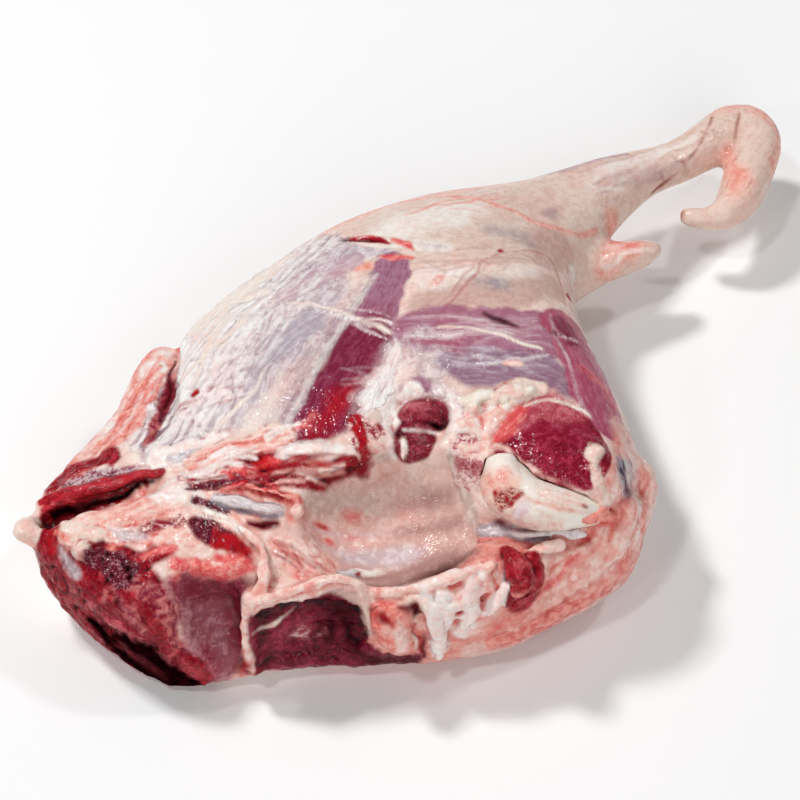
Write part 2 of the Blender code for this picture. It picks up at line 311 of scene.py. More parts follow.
TISSUES = {
    "outer_fat": Tissue("e8c4b8", "f2dbd1", "cf9184", 0.5, 0.3, lumps=0.3, furrows=0.15, gloss=0.7),
    "shank_skin": Tissue("dbb8a9", "e8cfc2", "bc8678", 0.5, 0.5, furrows=0.12, gloss=0.7),
    "shank_lilac": Tissue("b0909a", "ccb0b0", "8e6a76", 0.45, 0.7, furrows=0.15, gloss=0.7),
    "pink_skin": Tissue("e59484", "f5baab", "c0604e", 0.45, 0.4, lumps=0.2, gloss=0.7),
    "silverskin": Tissue("c9b7bd", "f1e8e5", "a08692", 0.6, 0.4, lumps=0.5, furrows=1.7),
    "white_skin": Tissue("dccfd0", "f8f3f0", "ac949e", 0.6, 0.5, lumps=0.4, furrows=1.7),
    "thin_fat": Tissue("f2e6dc", "ecd4ca", "cfa8a0", 0.35, 0.3, lumps=0.6, furrows=0.6, gloss=0.8),
    "lilac_film": Tissue("beaab2", "dfd4d6", "98828c", 0.5, 0.5, lumps=0.3, furrows=1.2),
    "lilac_muscle": Tissue("c09eaa", "d6c4ca", "967482", 0.45, 0.6, furrows=0.3),
    "blue_lilac": Tissue("b0a2ac", "ccc2c7", "8a7a85", 0.45, 0.6, furrows=0.5),
    "cream_band": Tissue("baa6ac", "d8cbc8", "988890", 0.5, 0.6, lumps=0.2, furrows=0.4, gloss=0.8),
    "mauve_film": Tissue("a6687c", "b8869a", "7a465c", 0.45, 0.6, furrows=0.3),
    "silver_film": Tissue("b8a4ae", "e6dcdd", "8a7084", 0.5, 0.4, lumps=0.3, furrows=0.5),
    "purple_muscle": Tissue("94586f", "ac7c91", "683250", 0.5, 0.6, furrows=0.3),
    "grape_muscle": Tissue("936c80", "a88c9b", "684860", 0.45, 0.6, furrows=0.25),
    "magenta_muscle": Tissue("aa4e68", "be7488", "78243e", 0.4, 0.6, furrows=0.3),
    "crimson": Tissue("7a223e", "984460", "420c22", 0.4, 0.6, furrows=0.25),
    "bright_crimson": Tissue("9c1024", "c42c34", "520612", 0.4, 0.5, furrows=0.2),
    "coral": Tissue("dc5256", "f0948a", "a81c28", 0.4, 0.5, furrows=0.3, gloss=0.8),
    "fascia": Tissue("dcc2c4", "faf5f2", "a88490", 0.6, 0.9, furrows=0.9),
    "beige_film": Tissue("c8ada4", "dfcbc1", "9a7c76", 0.5, 0.4, lumps=0.3, gloss=0.8),
    "membrane": Tissue("dcbfb1", "e8d1c5", "b98f83", 0.5, 0.3, furrows=0.1, gloss=0.8),
    # Pale strands of membrane, and the painted highlight on the upper side of the knee.
    "pale_membrane_and_highlight": Tissue("ede0d6", "f5ede6", "d0b6aa", 0.5, 0.2),
    "membrane_tan": Tissue("c7a297", "d5b2a8", "a4786e", 0.5, 0.4, furrows=0.1, gloss=0.8),
    # Painted blue-grey shade on the knee's membranes.
    "membrane_shade": Tissue("a6989c", "bcadab", "84747a", 0.4, 0.2, gloss=0.8),
    "blue_white": Tissue("b4a8ae", "ded4d6", "8a767e", 0.5, 0.5, lumps=0.3, furrows=0.5, gloss=1.0),
    "brown_line": Tissue("8a4234", "aa6656", "642a22", 0.4, 0.2, gloss=0.5),
    "vein": Tissue("b06a66", "c48682", "905050", 0.4, 0.2, gloss=0.5),
    "lining": Tissue("d4aa9e", "e4c2b8", "b07a70", 0.5, 0.3, furrows=0.1, gloss=0.55),
    # Painted shade: the grey bands across the cavity's lining.
    "lining_shade": Tissue("a8807a", "bc968e", "7c5854", 0.4, 0.3),
    # Painted highlight of the lining's wet sheen.
    "lining_highlight": Tissue("ccb4b6", "e4d6d6", "9a8488", 0.5, 0.2, gloss=0.65),
    # Painted shadow in the groove under the cavity's rim.
    "groove_shadow": Tissue("74504a", "94706a", "3c1c1a", 0.4, 0.4, gloss=0.5),
    "shadow_purple": Tissue("46202c", "6a3c48", "240a12", 0.4, 0.4, gloss=0.3),
    "pink_fat": Tissue("efb5a9", "f7dad0", "da726a", 0.45, 0.3, lumps=0.7, furrows=0.5),
    "salmon_fat": Tissue("dc6e64", "f0a094", "b02c30", 0.45, 0.3, lumps=0.7, furrows=0.5, gloss=0.8),
    "cream_fat": Tissue("f2dccf", "eec0b4", "cc7068", 0.35, 0.3, lumps=0.8, furrows=0.6),
    "white_fat": Tissue("f8efea", "f2d6ce", "cc8480", 0.35, 0.3, lumps=0.6, furrows=0.5, gloss=1.0),
    "yellow_fat": Tissue("eedccb", "f7ede2", "c89c88", 0.45, 0.1, lumps=0.7, gloss=0.7),
    "blood": Tissue("b01420", "8a0c1a", "4c040c", 0.4, 0.2, lumps=0.4, gloss=1.0),
    "scarlet": Tissue("c4141f", "ee5a58", "74060f", 0.4, 0.4, lumps=0.6, furrows=0.5, gloss=1.0),
    # Painted shade: the dark red of narrow gaps, holes and crevices.
    "crevice_shade": Tissue("640e18", "84202a", "2c060c", 0.4, 0.2, gloss=0.3),
    "rose_flesh": Tissue("901c2e", "c45c64", "4a0a1c", 0.4, 0.4, lumps=1.0, grains=0.3, furrows=0.3),
    "rose_fold": Tissue("90283a", "c87470", "4c0818", 0.4, 0.5, lumps=0.8, furrows=0.6, gloss=0.8),
    "red_flesh": Tissue("880c1c", "bc2c3a", "3a040c", 0.35, 0.4, cut=0.2, lumps=0.8, grains=0.3,
                        furrows=0.3),
    "glossy_red": Tissue("8c0f1e", "c8303c", "3c040a", 0.4, 0.8, lumps=0.5, furrows=0.5, gloss=1.0),
    "ragged_flesh": Tissue("860e1e", "b42a36", "2e040a", 0.4, 0.2, cut=0.3, lumps=1.3, grains=0.5,
                           gloss=0.5),
    # Dark red-black meat, and the painted shade of gaps, pits and the chump end's lower facet.
    "black_flesh_and_shade": Tissue("120204", "34060c", "060001", 0.3, 0.5, lumps=1.0, furrows=0.5, gloss=0.0),
    "cut_dark": Tissue("6a1428", "b47880", "300812", 0.3, 0.2, cut=0.7, lumps=0.9, grains=0.8, gloss=1.0),
    # White grains on red cut meat, partly painted glints.
    "cut_grains_and_glints": Tissue("964456", "e2c8cc", "5c1a30", 0.5, 0.1, cut=0.6, lumps=0.6, grains=0.8, gloss=1.0),
    "window_meat": Tissue("620a1a", "8e2242", "22040c", 0.4, 0.5, cut=0.3, lumps=0.8, grains=0.4,
                          furrows=0.3, gloss=0.8),
    "hollow_film": Tissue("96505c", "bc868a", "5c2430", 0.45, 0.3, lumps=0.4, gloss=0.8),
    # Dark red, partly painted shade on the hollow's right side.
    "hollow_red_and_shade": Tissue("741828", "9c3a48", "340812", 0.4, 0.4, lumps=0.4, gloss=0.8),
    "gristle": Tissue("e4d0c4", "f8f0e8", "a47868", 0.5, 0.7, furrows=0.6),
    "lilac_gristle": Tissue("bcaeb4", "ece4e4", "8a7480", 0.5, 0.7, furrows=0.6, gloss=1.0),
    "rose_cut": Tissue("b04452", "d0767e", "7a1c30", 0.45, 0.3, cut=0.3, lumps=0.3, grains=0.3, gloss=1.0),
    "raspberry": Tissue("8a1430", "b03e58", "4c0818", 0.4, 0.5, cut=0.2, lumps=0.3, grains=0.3),
    "crimson_cut": Tissue("800e26", "ac304a", "340612", 0.4, 0.3, cut=0.4, lumps=0.4, grains=0.4,
                          gloss=1.0),
    "marbled": Tissue("981e30", "f0ccc4", "5c0c18", 0.45, 0.2, cut=0.3, lumps=0.8, grains=0.4),
    "marbled_pink": Tissue("b44c58", "f2d4ce", "7c1c28", 0.55, 0.2, cut=0.4, lumps=0.8, grains=0.4),
    "stump_meat": Tissue("7c1c2c", "a84a58", "380814", 0.4, 0.2, cut=0.4, lumps=0.3, grains=0.4, gloss=1.0),
    "rump_fat": Tissue("e08a7e", "eda99c", "c4544c", 0.5, 0.4, lumps=0.6, furrows=0.4, gloss=0.8),
    "rump_pale": Tissue("e0aca2", "ecc6bc", "c07c74", 0.5, 0.4, lumps=0.4, furrows=0.3, gloss=0.8),
    "dent_grey": Tissue("6a5870", "a294a2", "34203a", 0.4, 0.4, lumps=0.5, gloss=1.0),
    "bone": Tissue("f0e0d0", "f7efe6", "d8b4a0", 0.5, 0.4, lumps=0.2, gloss=0.8),
    "bone_pink": Tissue("e8a294", "f2cabb", "c06054", 0.45, 0.2, lumps=0.3, gloss=0.8),
    "bone_lilac": Tissue("d2c2d8", "ece2ec", "a890b0", 0.5, 0.2),
    "marrow": Tissue("9c2424", "ecb4a4", "54060c", 0.45, 0.1, cut=0.8, lumps=0.3, grains=0.9),
}


# ---------------------------------------------------------------- the strokes


class Stroke:
    """One tissue over one shape: how soft and ragged its edge is, and how far it lifts the surface.

    A raised stroke is also a form of its own, which is joined with the leg before it is remeshed.
    """

    def __init__(self, tissue, shape, lift=0.0, soft=3.0, ragged=0.0, strength=1.0, raised=False):
        self.tissue, self.shape, self.lift = TISSUES[tissue].values, shape, lift
        self.soft, self.ragged, self.strength, self.raised = soft, ragged, strength, raised


def band(tissue, *rows, **how):
    return Stroke(tissue, Band(*rows), **how)


def tube(tissue, *rows, **how):
    return Stroke(tissue, Band(*rows), raised=True, **how)


def blob(tissue, centre, radii, turn=0, **how):
    return Stroke(tissue, Blob(centre, radii, turn), **how)


def knob(tissue, centre, radii, turn=0, **how):
    return Stroke(tissue, Blob(centre, radii, turn), raised=True, **how)


def threads(tissue, *rows, count, width=0.9, seed=0, **how):
    """Fine wavy strands that run along a wide band, each for part of its length."""
    chance = random.Random(seed)
    path = smooth_rows(rows, ROW_STEP)
    way = np.gradient(path[:, :2], axis=0)
    side = np.stack([way[:, 1], -way[:, 0]], axis=1) / np.linalg.norm(way, axis=1)[:, None]
    made = []
    for _ in range(count):
        length = chance.randint(min(3, len(path)), len(path))
        first = chance.randint(0, len(path) - length)
        strand = path[first : first + length].copy()
        start, end = (chance.uniform(-STRAND_SPREAD, STRAND_SPREAD) for _ in range(2))
        aside = np.linspace(start, end, length)
        strand[:, :2] += side[first : first + length] * (aside * strand[:, 3])[:, None]
        taper = np.sin(np.linspace(STRAND_ENDS, math.pi - STRAND_ENDS, length))
        strand[:, 3] = width * chance.uniform(*STRAND_WIDTHS) * taper
        made.append(Stroke(tissue, Band(*strand, weight=SURFACE_WEIGHT), **how))
    return made


def lobules(tissue, *rows, count, size, seed=0, **how):
    """Little lumps, specks or holes scattered over a wide band."""
    chance = random.Random(seed)
    path = smooth_rows(rows, LUMP_STEP)
    made = []
    for _ in range(count):
        x, y, z, radius = path[chance.randrange(len(path))]
        turn, out = chance.uniform(0, 360), radius * math.sqrt(chance.random())
        x += out * math.cos(math.radians(turn))
        y += out * math.sin(math.radians(turn))
        r = size * chance.uniform(*LUMP_SIZES)
        radii = LUMP_LENGTH * r, r, max(2 * r, LUMP_REACH)
        made.append(blob(tissue, (x, y, z), radii, chance.uniform(0, 180), **how))
    return made


# Where strands of several tissues run: along the cavity towards the thigh, and along the rump.
CAVITY_EDGE = (-118, -8, 89, 8), (-100, -26, 93, 8), (-80, -42, 93, 6)
RUMP_SIDE = (-52, -144, 50, 10), (-20, -156, 56, 14), (16, -158, 62, 12), (44, -142, 74, 8)

# The skin of the shank, with its pale strands and brown lines.
SHANK = [
    band("shank_skin", (150, 36, 60, 46), (200, 34, 52, 44), (310, 12, 46, 46), soft=14),
    band("shank_skin", (300, -8, 46, 34), (240, -22, 42, 26), soft=6),
    band("shank_skin", (140, 4, 46, 22), (205, -18, 46, 14), soft=6),
    band("shank_lilac", (164, 60, 73, 3), (200, 54, 66, 4), (232, 44, 62, 3), soft=5, ragged=1),
    band("shank_lilac", (170, 6, 66, 2), (196, 4, 56, 3), (222, 6, 48, 2.4), soft=6, ragged=1.5),
    *threads("shank_lilac", (120, 44, 90, 14), (160, 34, 76, 18), (220, 30, 60, 14), (262, 22, 56, 8),
             count=12, width=1.0, seed=3, soft=3.5, strength=0.5),
    *threads("pale_membrane_and_highlight", (120, 44, 90, 14), (160, 34, 76, 20), (220, 30, 60, 14), (280, 22, 58, 10),
             count=14, width=1.6, seed=4, strength=0.7),
    band("pink_skin", (300, 38, 52, 5), (322, 24, 55, 6), (322, -6, 50, 6), (296, -26, 46, 5), soft=9),
    band("pink_skin", (288, 6, 54, 4), (278, -3, 52, 5), (273, -16, 56, 7), (262, -22, 50, 5), soft=10),
    band("pink_skin", (162, -6, 56, 10), (184, -2, 56, 13), (178, 12, 60, 9), soft=9),
    band("coral", (172, 4, 58, 2), (178, -8, 54, 3), (190, -16, 50, 2), soft=9, strength=0.7),
    *threads("pale_membrane_and_highlight", (158, -6, 56, 6), (178, -8, 54, 9), (194, -16, 50, 7), count=6, width=1.2,
             seed=5, strength=0.5),
    band("brown_line", (232, 18, 46, 0.9), (250, 17, 50, 1.1), (266, 17, 56, 1.0), (298, 30, 60, 0.8),
         lift=-0.6, soft=2.4),
    band("brown_line", (312, 21, 63, 1.0), (305, 17, 61, 1.1), (296, 9, 58, 0.9), (284, -3, 58, 0.8),
         lift=-1.2, soft=1.8),
    *lobules("brown_line", (236, 17, 47, 4), (262, 17, 55, 4), (290, 26, 60, 5), count=8, size=1.1, seed=6,
             soft=2.5, strength=0.6),
    blob("brown_line", (163, 9, 68), (2, 2, 2), ragged=1),
    blob("brown_line", (232, -2, 44), (4, 6, 6), soft=4),
]

# The membranes over the knee, with their folds and veins.
KNEE = [
    band("membrane", (30, 80, 98, 26), (80, 50, 100, 42), (118, 34, 88, 42), (152, 32, 72, 34), soft=12),
    band("membrane_tan", (22, 4, 112, 9), (46, -8, 113, 14), (70, -22, 110, 15), (96, -24, 96, 14), soft=9),
    band("membrane_tan", (110, -4, 92, 12), (128, 6, 82, 12), soft=10),
    # Painted highlight on the upper side of the knee's membranes.
    band("pale_membrane_and_highlight", (46, 66, 104, 8), (66, 62, 104, 13), (88, 54, 101, 14), (106, 48, 96, 9),
         soft=14),
    band("pale_membrane_and_highlight", (34, 22, 112, 7), (44, 12, 113, 9), (58, 4, 112, 6), soft=8, strength=0.8),
    band("pale_membrane_and_highlight", (70, -8, 111, 5), (88, -12, 104, 6), soft=8, strength=0.6),
    # Painted blue-grey shade in patches on the knee's membranes.
    band("membrane_shade", (98, 26, 101, 3), (110, 10, 97, 5), soft=16, strength=0.8),
    band("membrane_shade", (56, -6, 112, 3), (66, -15, 111, 4), soft=13),
    blob("membrane_shade", (146, 24, 82), (6, 5, 6), soft=10, strength=0.8),
    blob("membrane_shade", (62, -11, 112), (4, 2.6, 3), soft=4),
    band("pink_skin", (20, 104, 80, 5), (52, 98, 82, 7), (84, 91, 85, 6), (111, 76, 87, 4),
         (148, 68, 76, 4), soft=10, strength=0.8),
    band("pink_skin", (84, 88, 88, 1.5), (110, 64, 92, 1.6), (122, 40, 92, 1.6), (131, 20, 87, 1.6),
         (152, 8, 71, 1.6), (170, 9, 64, 1.2), lift=0.6),
    *threads("pink_skin", (60, 70, 102, 12), (100, 56, 97, 16), (140, 40, 80, 16), count=9, width=1.0,
             seed=7, soft=2.5, strength=0.7),
    *threads("membrane_tan", (30, 30, 110, 12), (70, 6, 110, 18), (116, -2, 92, 12), count=10, width=1.2,
             seed=8, strength=0.7),
    band("vein", (21, -4, 112, 0.6), (41, -4, 113, 0.7), (54, -1, 112, 0.7), (72, 7, 110, 0.7),
         (95, 5, 102, 0.6), (114, -2, 91, 0.6), (106, -21, 88, 0.6), (94, -36, 93, 0.5), lift=0.5,
         soft=2.2),
    band("vein", (24, 0, 112, 0.4), (42, 0, 113, 0.5), (56, 4, 112, 0.5), (70, 11, 110, 0.4), lift=0.4,
         soft=1.8, strength=0.7),
    blob("blood", (86, 9, 105), (2.2, 1.6, 2), soft=1.5),
    blob("blood", (104, -31, 84), (4, 3, 4), soft=2, lift=-1),
    blob("gristle", (132, -8, 68), (5, 4, 6), soft=2),
    blob("pink_fat", (40, 12, 112), (5, 3, 3), lift=1.4),
    blob("white_fat", (50, 10, 112), (3.5, 1.6, 2), lift=0.8, soft=2),
    band("pale_membrane_and_highlight", (52, 44, 108, 4), (57, 36, 110, 7), (62, 28, 110, 4), soft=6),
    band("blue_white", (52, 44, 108, 2), (57, 36, 110, 4), (61, 29, 110, 2), soft=6, strength=0.6),
    band("thin_fat", (26, 84, 97, 3), (38, 66, 104, 4), (48, 50, 107, 4), (52, 40, 109, 3), soft=2.5,
         ragged=1.5),
    band("silver_film", (16, 78, 99, 4), (28, 62, 104, 5), (38, 50, 107, 4), soft=4, ragged=1),
    band("blue_lilac", (22, 92, 94, 3), (30, 82, 98, 3.5)),
    band("shadow_purple", (31, 85, 96, 1.5), (35, 78, 99, 2.4), lift=-2, soft=1.5),
    band("bright_crimson", (35, 78, 99, 2), (40, 70, 102, 3), (42, 62, 104, 2), (43, 56, 106, 0.6), lift=-3,
         soft=1.5),
    band("coral", (47, 57, 106, 1.6), (49, 49, 108, 2.4), (48, 42, 109, 1.4), soft=1.5, ragged=1),
    band("pink_skin", (20, 54, 105, 3), (27, 46, 107, 4), soft=4, ragged=2),
]

# The silverskin of the thigh, with its pale strands and the muscle that shows beside it.
THIGH = [
    band("silverskin", (-122, 50, 82, 24), (-84, 62, 90, 34), (-44, 76, 92, 36), (4, 88, 94, 24), soft=10,
         ragged=3),
    band("white_skin", (-118, 70, 76, 12), (-92, 84, 74, 16), (-62, 92, 78, 18), (-24, 98, 82, 14), soft=14,
         ragged=4),
    band("lilac_film", (20, 72, 101, 12), (-10, 64, 101, 18), (-42, 48, 101, 18), (-72, 34, 98, 15),
         (-94, 22, 96, 9), soft=14, ragged=3),
    band("thin_fat", (-62, 104, 76, 7), (-40, 104, 80, 9), (-18, 104, 82, 8), (6, 104, 82, 5), soft=6,
         ragged=4),
    band("thin_fat", (-34, 94, 88, 5), (-24, 86, 91, 5), ragged=2, lift=0.8),
    band("lilac_muscle", (-24, 74, 96, 4), (-8, 72, 98, 11), (12, 66, 101, 10), (22, 62, 103, 5), soft=6,
         ragged=2),
    band("blue_lilac", (-74, 38, 97, 5), (-50, 44, 99, 10), (-28, 44, 101, 9), (-14, 44, 103, 4), soft=7,
         ragged=2),
    band("purple_muscle", (36, 44, 109, 6), (26, 35, 109, 11), (12, 26, 110, 14), (-4, 20, 109, 16),
         (-22, 14, 107, 16), ragged=1.5),
    band("coral", (34, 50, 108, 1.5), (38, 43, 109, 2.6), (43, 36, 110, 2), ragged=0.8),
    band("crimson", (-18, 10, 107, 14), (-40, 2, 105, 17), (-58, -5, 103, 18), (-78, -12, 101, 12), soft=7,
         ragged=2),
    band("bright_crimson", (-42, -10, 105, 2), (-54, -10, 104, 5), (-68, -15, 102, 6), (-82, -20, 100, 5),
         soft=13, ragged=2),
    band("coral", (-70, -6, 102, 1.6), (-78, -12, 101, 2.6), soft=5, strength=0.6),
    band("cream_band", (18, 43, 107, 2), (-2, 38, 106, 3), (-32, 28, 104, 4), (-62, 16, 102, 5),
         (-88, 6, 98, 8), soft=12, strength=0.8),
    band("thin_fat", (-64, 26, 101, 3), (-82, 18, 98, 6), (-98, 14, 94, 7), soft=9, ragged=3, strength=0.7),
    band("cream_band", (22, 41, 108, 1.6), (0, 34, 107, 2.4), (-30, 23, 105, 2.6), (-58, 11, 103, 2.8),
         (-84, -1, 100, 3), soft=1.6, lift=0.5),
    *threads("white_skin", (-112, 44, 86, 16), (-78, 56, 94, 22), (-36, 70, 96, 20), (10, 82, 96, 14),
             count=34, width=1.3, seed=11, lift=0.9, soft=2.4, strength=0.7),
    *threads("thin_fat", (-104, 56, 82, 20), (-60, 80, 86, 20), (-10, 92, 90, 12), count=16, width=1.0,
             seed=12, lift=0.8, soft=1.6),
    *threads("lilac_film", (-108, 40, 88, 12), (-76, 46, 96, 14), (-40, 60, 98, 14), count=12, width=0.8,
             seed=13, lift=-0.6, soft=2.5, strength=0.6),
    band("thin_fat", (-26, 70, 97, 0.8), (-16, 50, 102, 1.1), (-9, 22, 108, 1.2), (-1, -1, 110, 1.2),
         (12, -20, 111, 1.0), (22, -38, 113, 0.8), lift=0.9, soft=1.6),
    band("fascia", (-12, 28, 107, 0.8), (-2, 12, 109, 1.1), (7, 0, 111, 1.1), (18, -14, 112, 0.8), lift=0.8,
         soft=1.6),
    *threads("fascia", (-22, 60, 99, 6), (-12, 34, 105, 8), (-2, 4, 109, 8), count=7, width=0.7, seed=14,
             lift=0.5, soft=1.8, strength=0.6),
    *threads("vein", (-116, 62, 80, 8), (-100, 50, 87, 11), (-84, 38, 94, 9), count=12, width=0.7, seed=15,
             lift=-0.9, soft=2.2, strength=0.6),
    *threads("white_skin", (-118, 62, 80, 10), (-98, 50, 88, 13), (-78, 38, 95, 10), count=12, width=1.4,
             seed=16, lift=1.1, soft=2.2),
    band("thin_fat", (-66, 36, 99, 0.9), (-84, 31, 96, 1.3), (-102, 29, 91, 1.5), (-116, 31, 87, 1.2),
         lift=1.1, soft=1.8),
]

# The bare muscles between the knee and the aitch bone, and the films and seams across them.
MIDDLE = [
    band("mauve_film", (6, -4, 110, 10), (24, -24, 112, 15), (46, -46, 112, 18), (62, -62, 106, 14), soft=4,
         ragged=1.5),
    band("grape_muscle", (2, -34, 110, 6), (18, -54, 112, 12), (36, -76, 110, 13), (48, -96, 102, 9),
         soft=6, ragged=2),
    band("silver_film", (8, -10, 111, 6), (-2, -24, 110, 11), (-8, -38, 108, 9), (-12, -46, 106, 7),
         soft=10, ragged=4, strength=0.6),
    band("magenta_muscle", (0, -10, 110, 1.4), (8, -20, 111, 2.6), (16, -28, 112, 2), soft=4, strength=0.7),
    band("fascia", (-6, -4, 109, 2), (-22, -15, 107, 6), (-40, -25, 105, 7), (-54, -36, 102, 7), soft=13,
         ragged=4),
    *threads("fascia", (-44, 0, 104, 7), (-32, -11, 106, 9), (-20, -24, 108, 7), count=9, width=0.5,
             seed=21, lift=0.5, strength=0.35),
    *threads("fascia", (4, 0, 110, 8), (24, -22, 112, 14), (46, -44, 112, 16), (60, -58, 107, 12), count=12,
             width=0.9, seed=23, lift=0.5, strength=0.35),
    *threads("silver_film", (4, -30, 110, 8), (22, -52, 112, 12), (40, -74, 110, 12), count=12, width=0.9,
             seed=24, lift=0.4, soft=2.5, strength=0.5),
    band("beige_film", (-50, -36, 104, 7), (-56, -46, 101, 8), (-60, -54, 98, 6), soft=4, ragged=1),
    blob("purple_muscle", (-20, -34, 108), (10, 6, 6), -20, soft=4, ragged=1.5),
    band("thin_fat", (17, -13, 112, 0.9), (31, -31, 113, 1.2), (41, -51, 112, 1.2), (46, -64, 110, 0.9),
         lift=1.0, soft=1.5),
    band("shadow_purple", (41, -24, 113, 1.5), (45, -35, 113, 3), (49, -42, 112, 1.5)),
    band("magenta_muscle", (74, -58, 101, 15), (64, -80, 100, 16), (54, -98, 97, 15), (48, -114, 92, 11),
         soft=2.5, ragged=1),
    band("crimson", (73, -56, 103, 6), (67, -66, 103, 7), soft=6, ragged=1),
    band("silver_film", (72, -46, 105, 0.8), (60, -62, 107, 1.0), (54, -78, 105, 1.0), (42, -96, 103, 1.0),
         (38, -110, 101, 0.8), lift=0.9, soft=2.4, strength=0.6),
    # White grains on the cut meat, partly painted glints.
    band("cut_grains_and_glints", (62, -59, 107, 2), (71, -68, 103, 2.6), ragged=1.5),
    *threads("coral", (58, -82, 102, 4), (62, -96, 97, 5), (62, -110, 90, 4), count=6, width=0.8, seed=27,
             lift=0.5, strength=0.5),
    band("pink_fat", (24, -57, 112, 1.4), (31, -63, 111, 2.2), lift=1.2, soft=1.5),
    band("white_fat", (-20, -58, 107, 6), (-8, -66, 107, 9), (4, -78, 105, 6), ragged=3),
    band("salmon_fat", (-12, -74, 105, 4), (0, -82, 105, 5), ragged=2),
    *threads("fascia", (-32, -34, 106, 6), (-16, -48, 106, 9), (-2, -66, 107, 8), count=12, width=0.9,
             seed=28, lift=0.6, soft=2.0, strength=0.6),
]

# The round stump of cut muscle beside the cavity.
STUMP = [
    band("white_fat", (-22, -34, 106, 5), (-36, -34, 104, 5), (-50, -46, 100, 5), (-54, -58, 96, 4),
         ragged=1.5, lift=0.6),
    blob("stump_meat", (-27, -49, 102), (15, 10.5, 14), -43, soft=2, ragged=0.5),
    blob("stump_meat", (-42, -55, 98), (12, 11, 14), -43, soft=2, ragged=0.5),
    blob("rose_cut", (-24, -44, 104), (11, 5, 8), -43, soft=6, strength=0.8),
    tube("gristle", (-46, -51, 98, 1.2), (-50, -59, 93, 1.6), soft=1),
    # Painted shade in the gap across the stump.
    band("black_flesh_and_shade", (-40, -45, 102, 1.0), (-34, -52, 102, 1.8), (-26, -59, 101, 1.4), soft=2,
         lift=-2.5),
    band("white_fat", (-43, -47, 101, 0.8), (-37, -54, 101, 1.0), (-29, -62, 99, 0.8), soft=1.4, lift=0.6),
    *lobules("raspberry", (-30, -48, 102, 12), (-42, -56, 98, 8), count=12, size=1.6, seed=31, soft=2,
             strength=0.5),
]

# The lining of the pelvic cavity, with its ridges and red stains, its painted grey shade and highlight, and
# the painted shadow in the groove under its rim.
CAVITY = [
    band("rump_fat", (-130, -86, 30, 20), (-80, -122, 40, 26), (-30, -150, 46, 30), (24, -154, 56, 28),
         (50, -132, 68, 16), soft=8, ragged=4),
    band("lining", (-116, -54, 74, 24), (-86, -78, 66, 34), (-62, -94, 72, 26), soft=4, ragged=1),
    band("lining", (-113, -72, 66, 10), (-102, -86, 62, 10), (-86, -98, 60, 10), (-70, -106, 64, 10),
         (-54, -110, 72, 8), ragged=1),
    band("beige_film", (-100, -38, 84, 6), (-84, -49, 74, 8), (-66, -62, 70, 8), (-52, -74, 74, 6), soft=9,
         strength=0.7),
    # Painted shade in grey bands across the lining.
    band("lining_shade", (-74, -56, 76, 2), (-62, -66, 73, 4), (-50, -76, 75, 5), (-42, -84, 79, 5), soft=9,
         strength=0.9),
    band("lining_shade", (-72, -74, 63, 1.5), (-58, -86, 66, 3), (-47, -96, 73, 4), soft=8, strength=0.9),
    band("pink_fat", (-110, -50, 76, 5), (-99, -59, 66, 7), (-88, -68, 62, 6), soft=12, strength=0.6),
    band("pink_fat", (-88, -54, 70, 3), (-74, -64, 66, 4), (-62, -72, 67, 3), soft=10, strength=0.5),
    # Painted highlight across the lower lining.
    band("lining_highlight", (-104, -68, 63, 4), (-88, -80, 59, 6), (-72, -92, 60, 5), soft=8),
    # Painted shade low on the lining.
    band("lining_shade", (-106, -86, 62, 3), (-92, -94, 60, 5), (-76, -102, 61, 6), (-62, -108, 67, 5),
         soft=9, strength=0.9),
    # Painted shadow in the groove under the rim.
    band("groove_shadow", (-112, -90, 66, 1), (-101, -97, 62, 1.6), (-90, -103, 61, 3), (-78, -109, 64, 4.4),
         (-66, -114, 67, 4.4), (-56, -118, 73, 3), lift=-3, soft=8),
    # Painted highlight in streaks over the lining.
    *threads("lining_highlight", (-112, -54, 74, 8), (-90, -74, 62, 16), (-66, -92, 64, 14), count=7, width=1.6,
             seed=42, soft=6, strength=0.5),
    blob("coral", (-86, -53, 70), (5, 2.6, 5), -40, soft=6, strength=0.8),
    blob("coral", (-104, -50, 73), (4, 1.6, 5), -40, soft=2.4),
    blob("blood", (-104, -50, 73), (2.4, 0.8, 5), -40, soft=1.6, strength=0.8),
    blob("coral", (-106, -58, 70), (3, 2.4, 5), -40, strength=0.8),
    blob("coral", (-92, -60, 65), (2.6, 1.2, 4), -40, soft=4, strength=0.6),
    band("pink_fat", (-128, -50, 84, 7), (-122, -64, 78, 9), (-118, -74, 74, 6), soft=5, ragged=2),
    *threads("blood", (-136, -46, 80, 8), (-126, -60, 77, 10), (-118, -72, 72, 8), count=10, width=0.8,
             seed=43, soft=1.8, strength=0.7),
    tube("gristle", (-108, -77, 64, 1.8), (-102, -82, 62, 2.2), (-93, -87, 60, 1.6), soft=1),
    tube("blue_white", (-114, -76, 66, 1.6), (-109, -79, 64, 2.4), soft=1.5),
    blob("blood", (-107, -81, 63), (2.4, 1.2, 4), soft=1.4),
    tube("beige_film", (-33, -77, 98, 1.2), (-35, -86, 86, 1.8), (-39, -96, 78, 2.2), (-44, -108, 72, 1.4),
         soft=1.5),
    band("vein", (-44, -108, 72, 0.7), (-50, -116, 72, 0.8), (-58, -125, 74, 0.6), soft=0.8, lift=0.6),
]

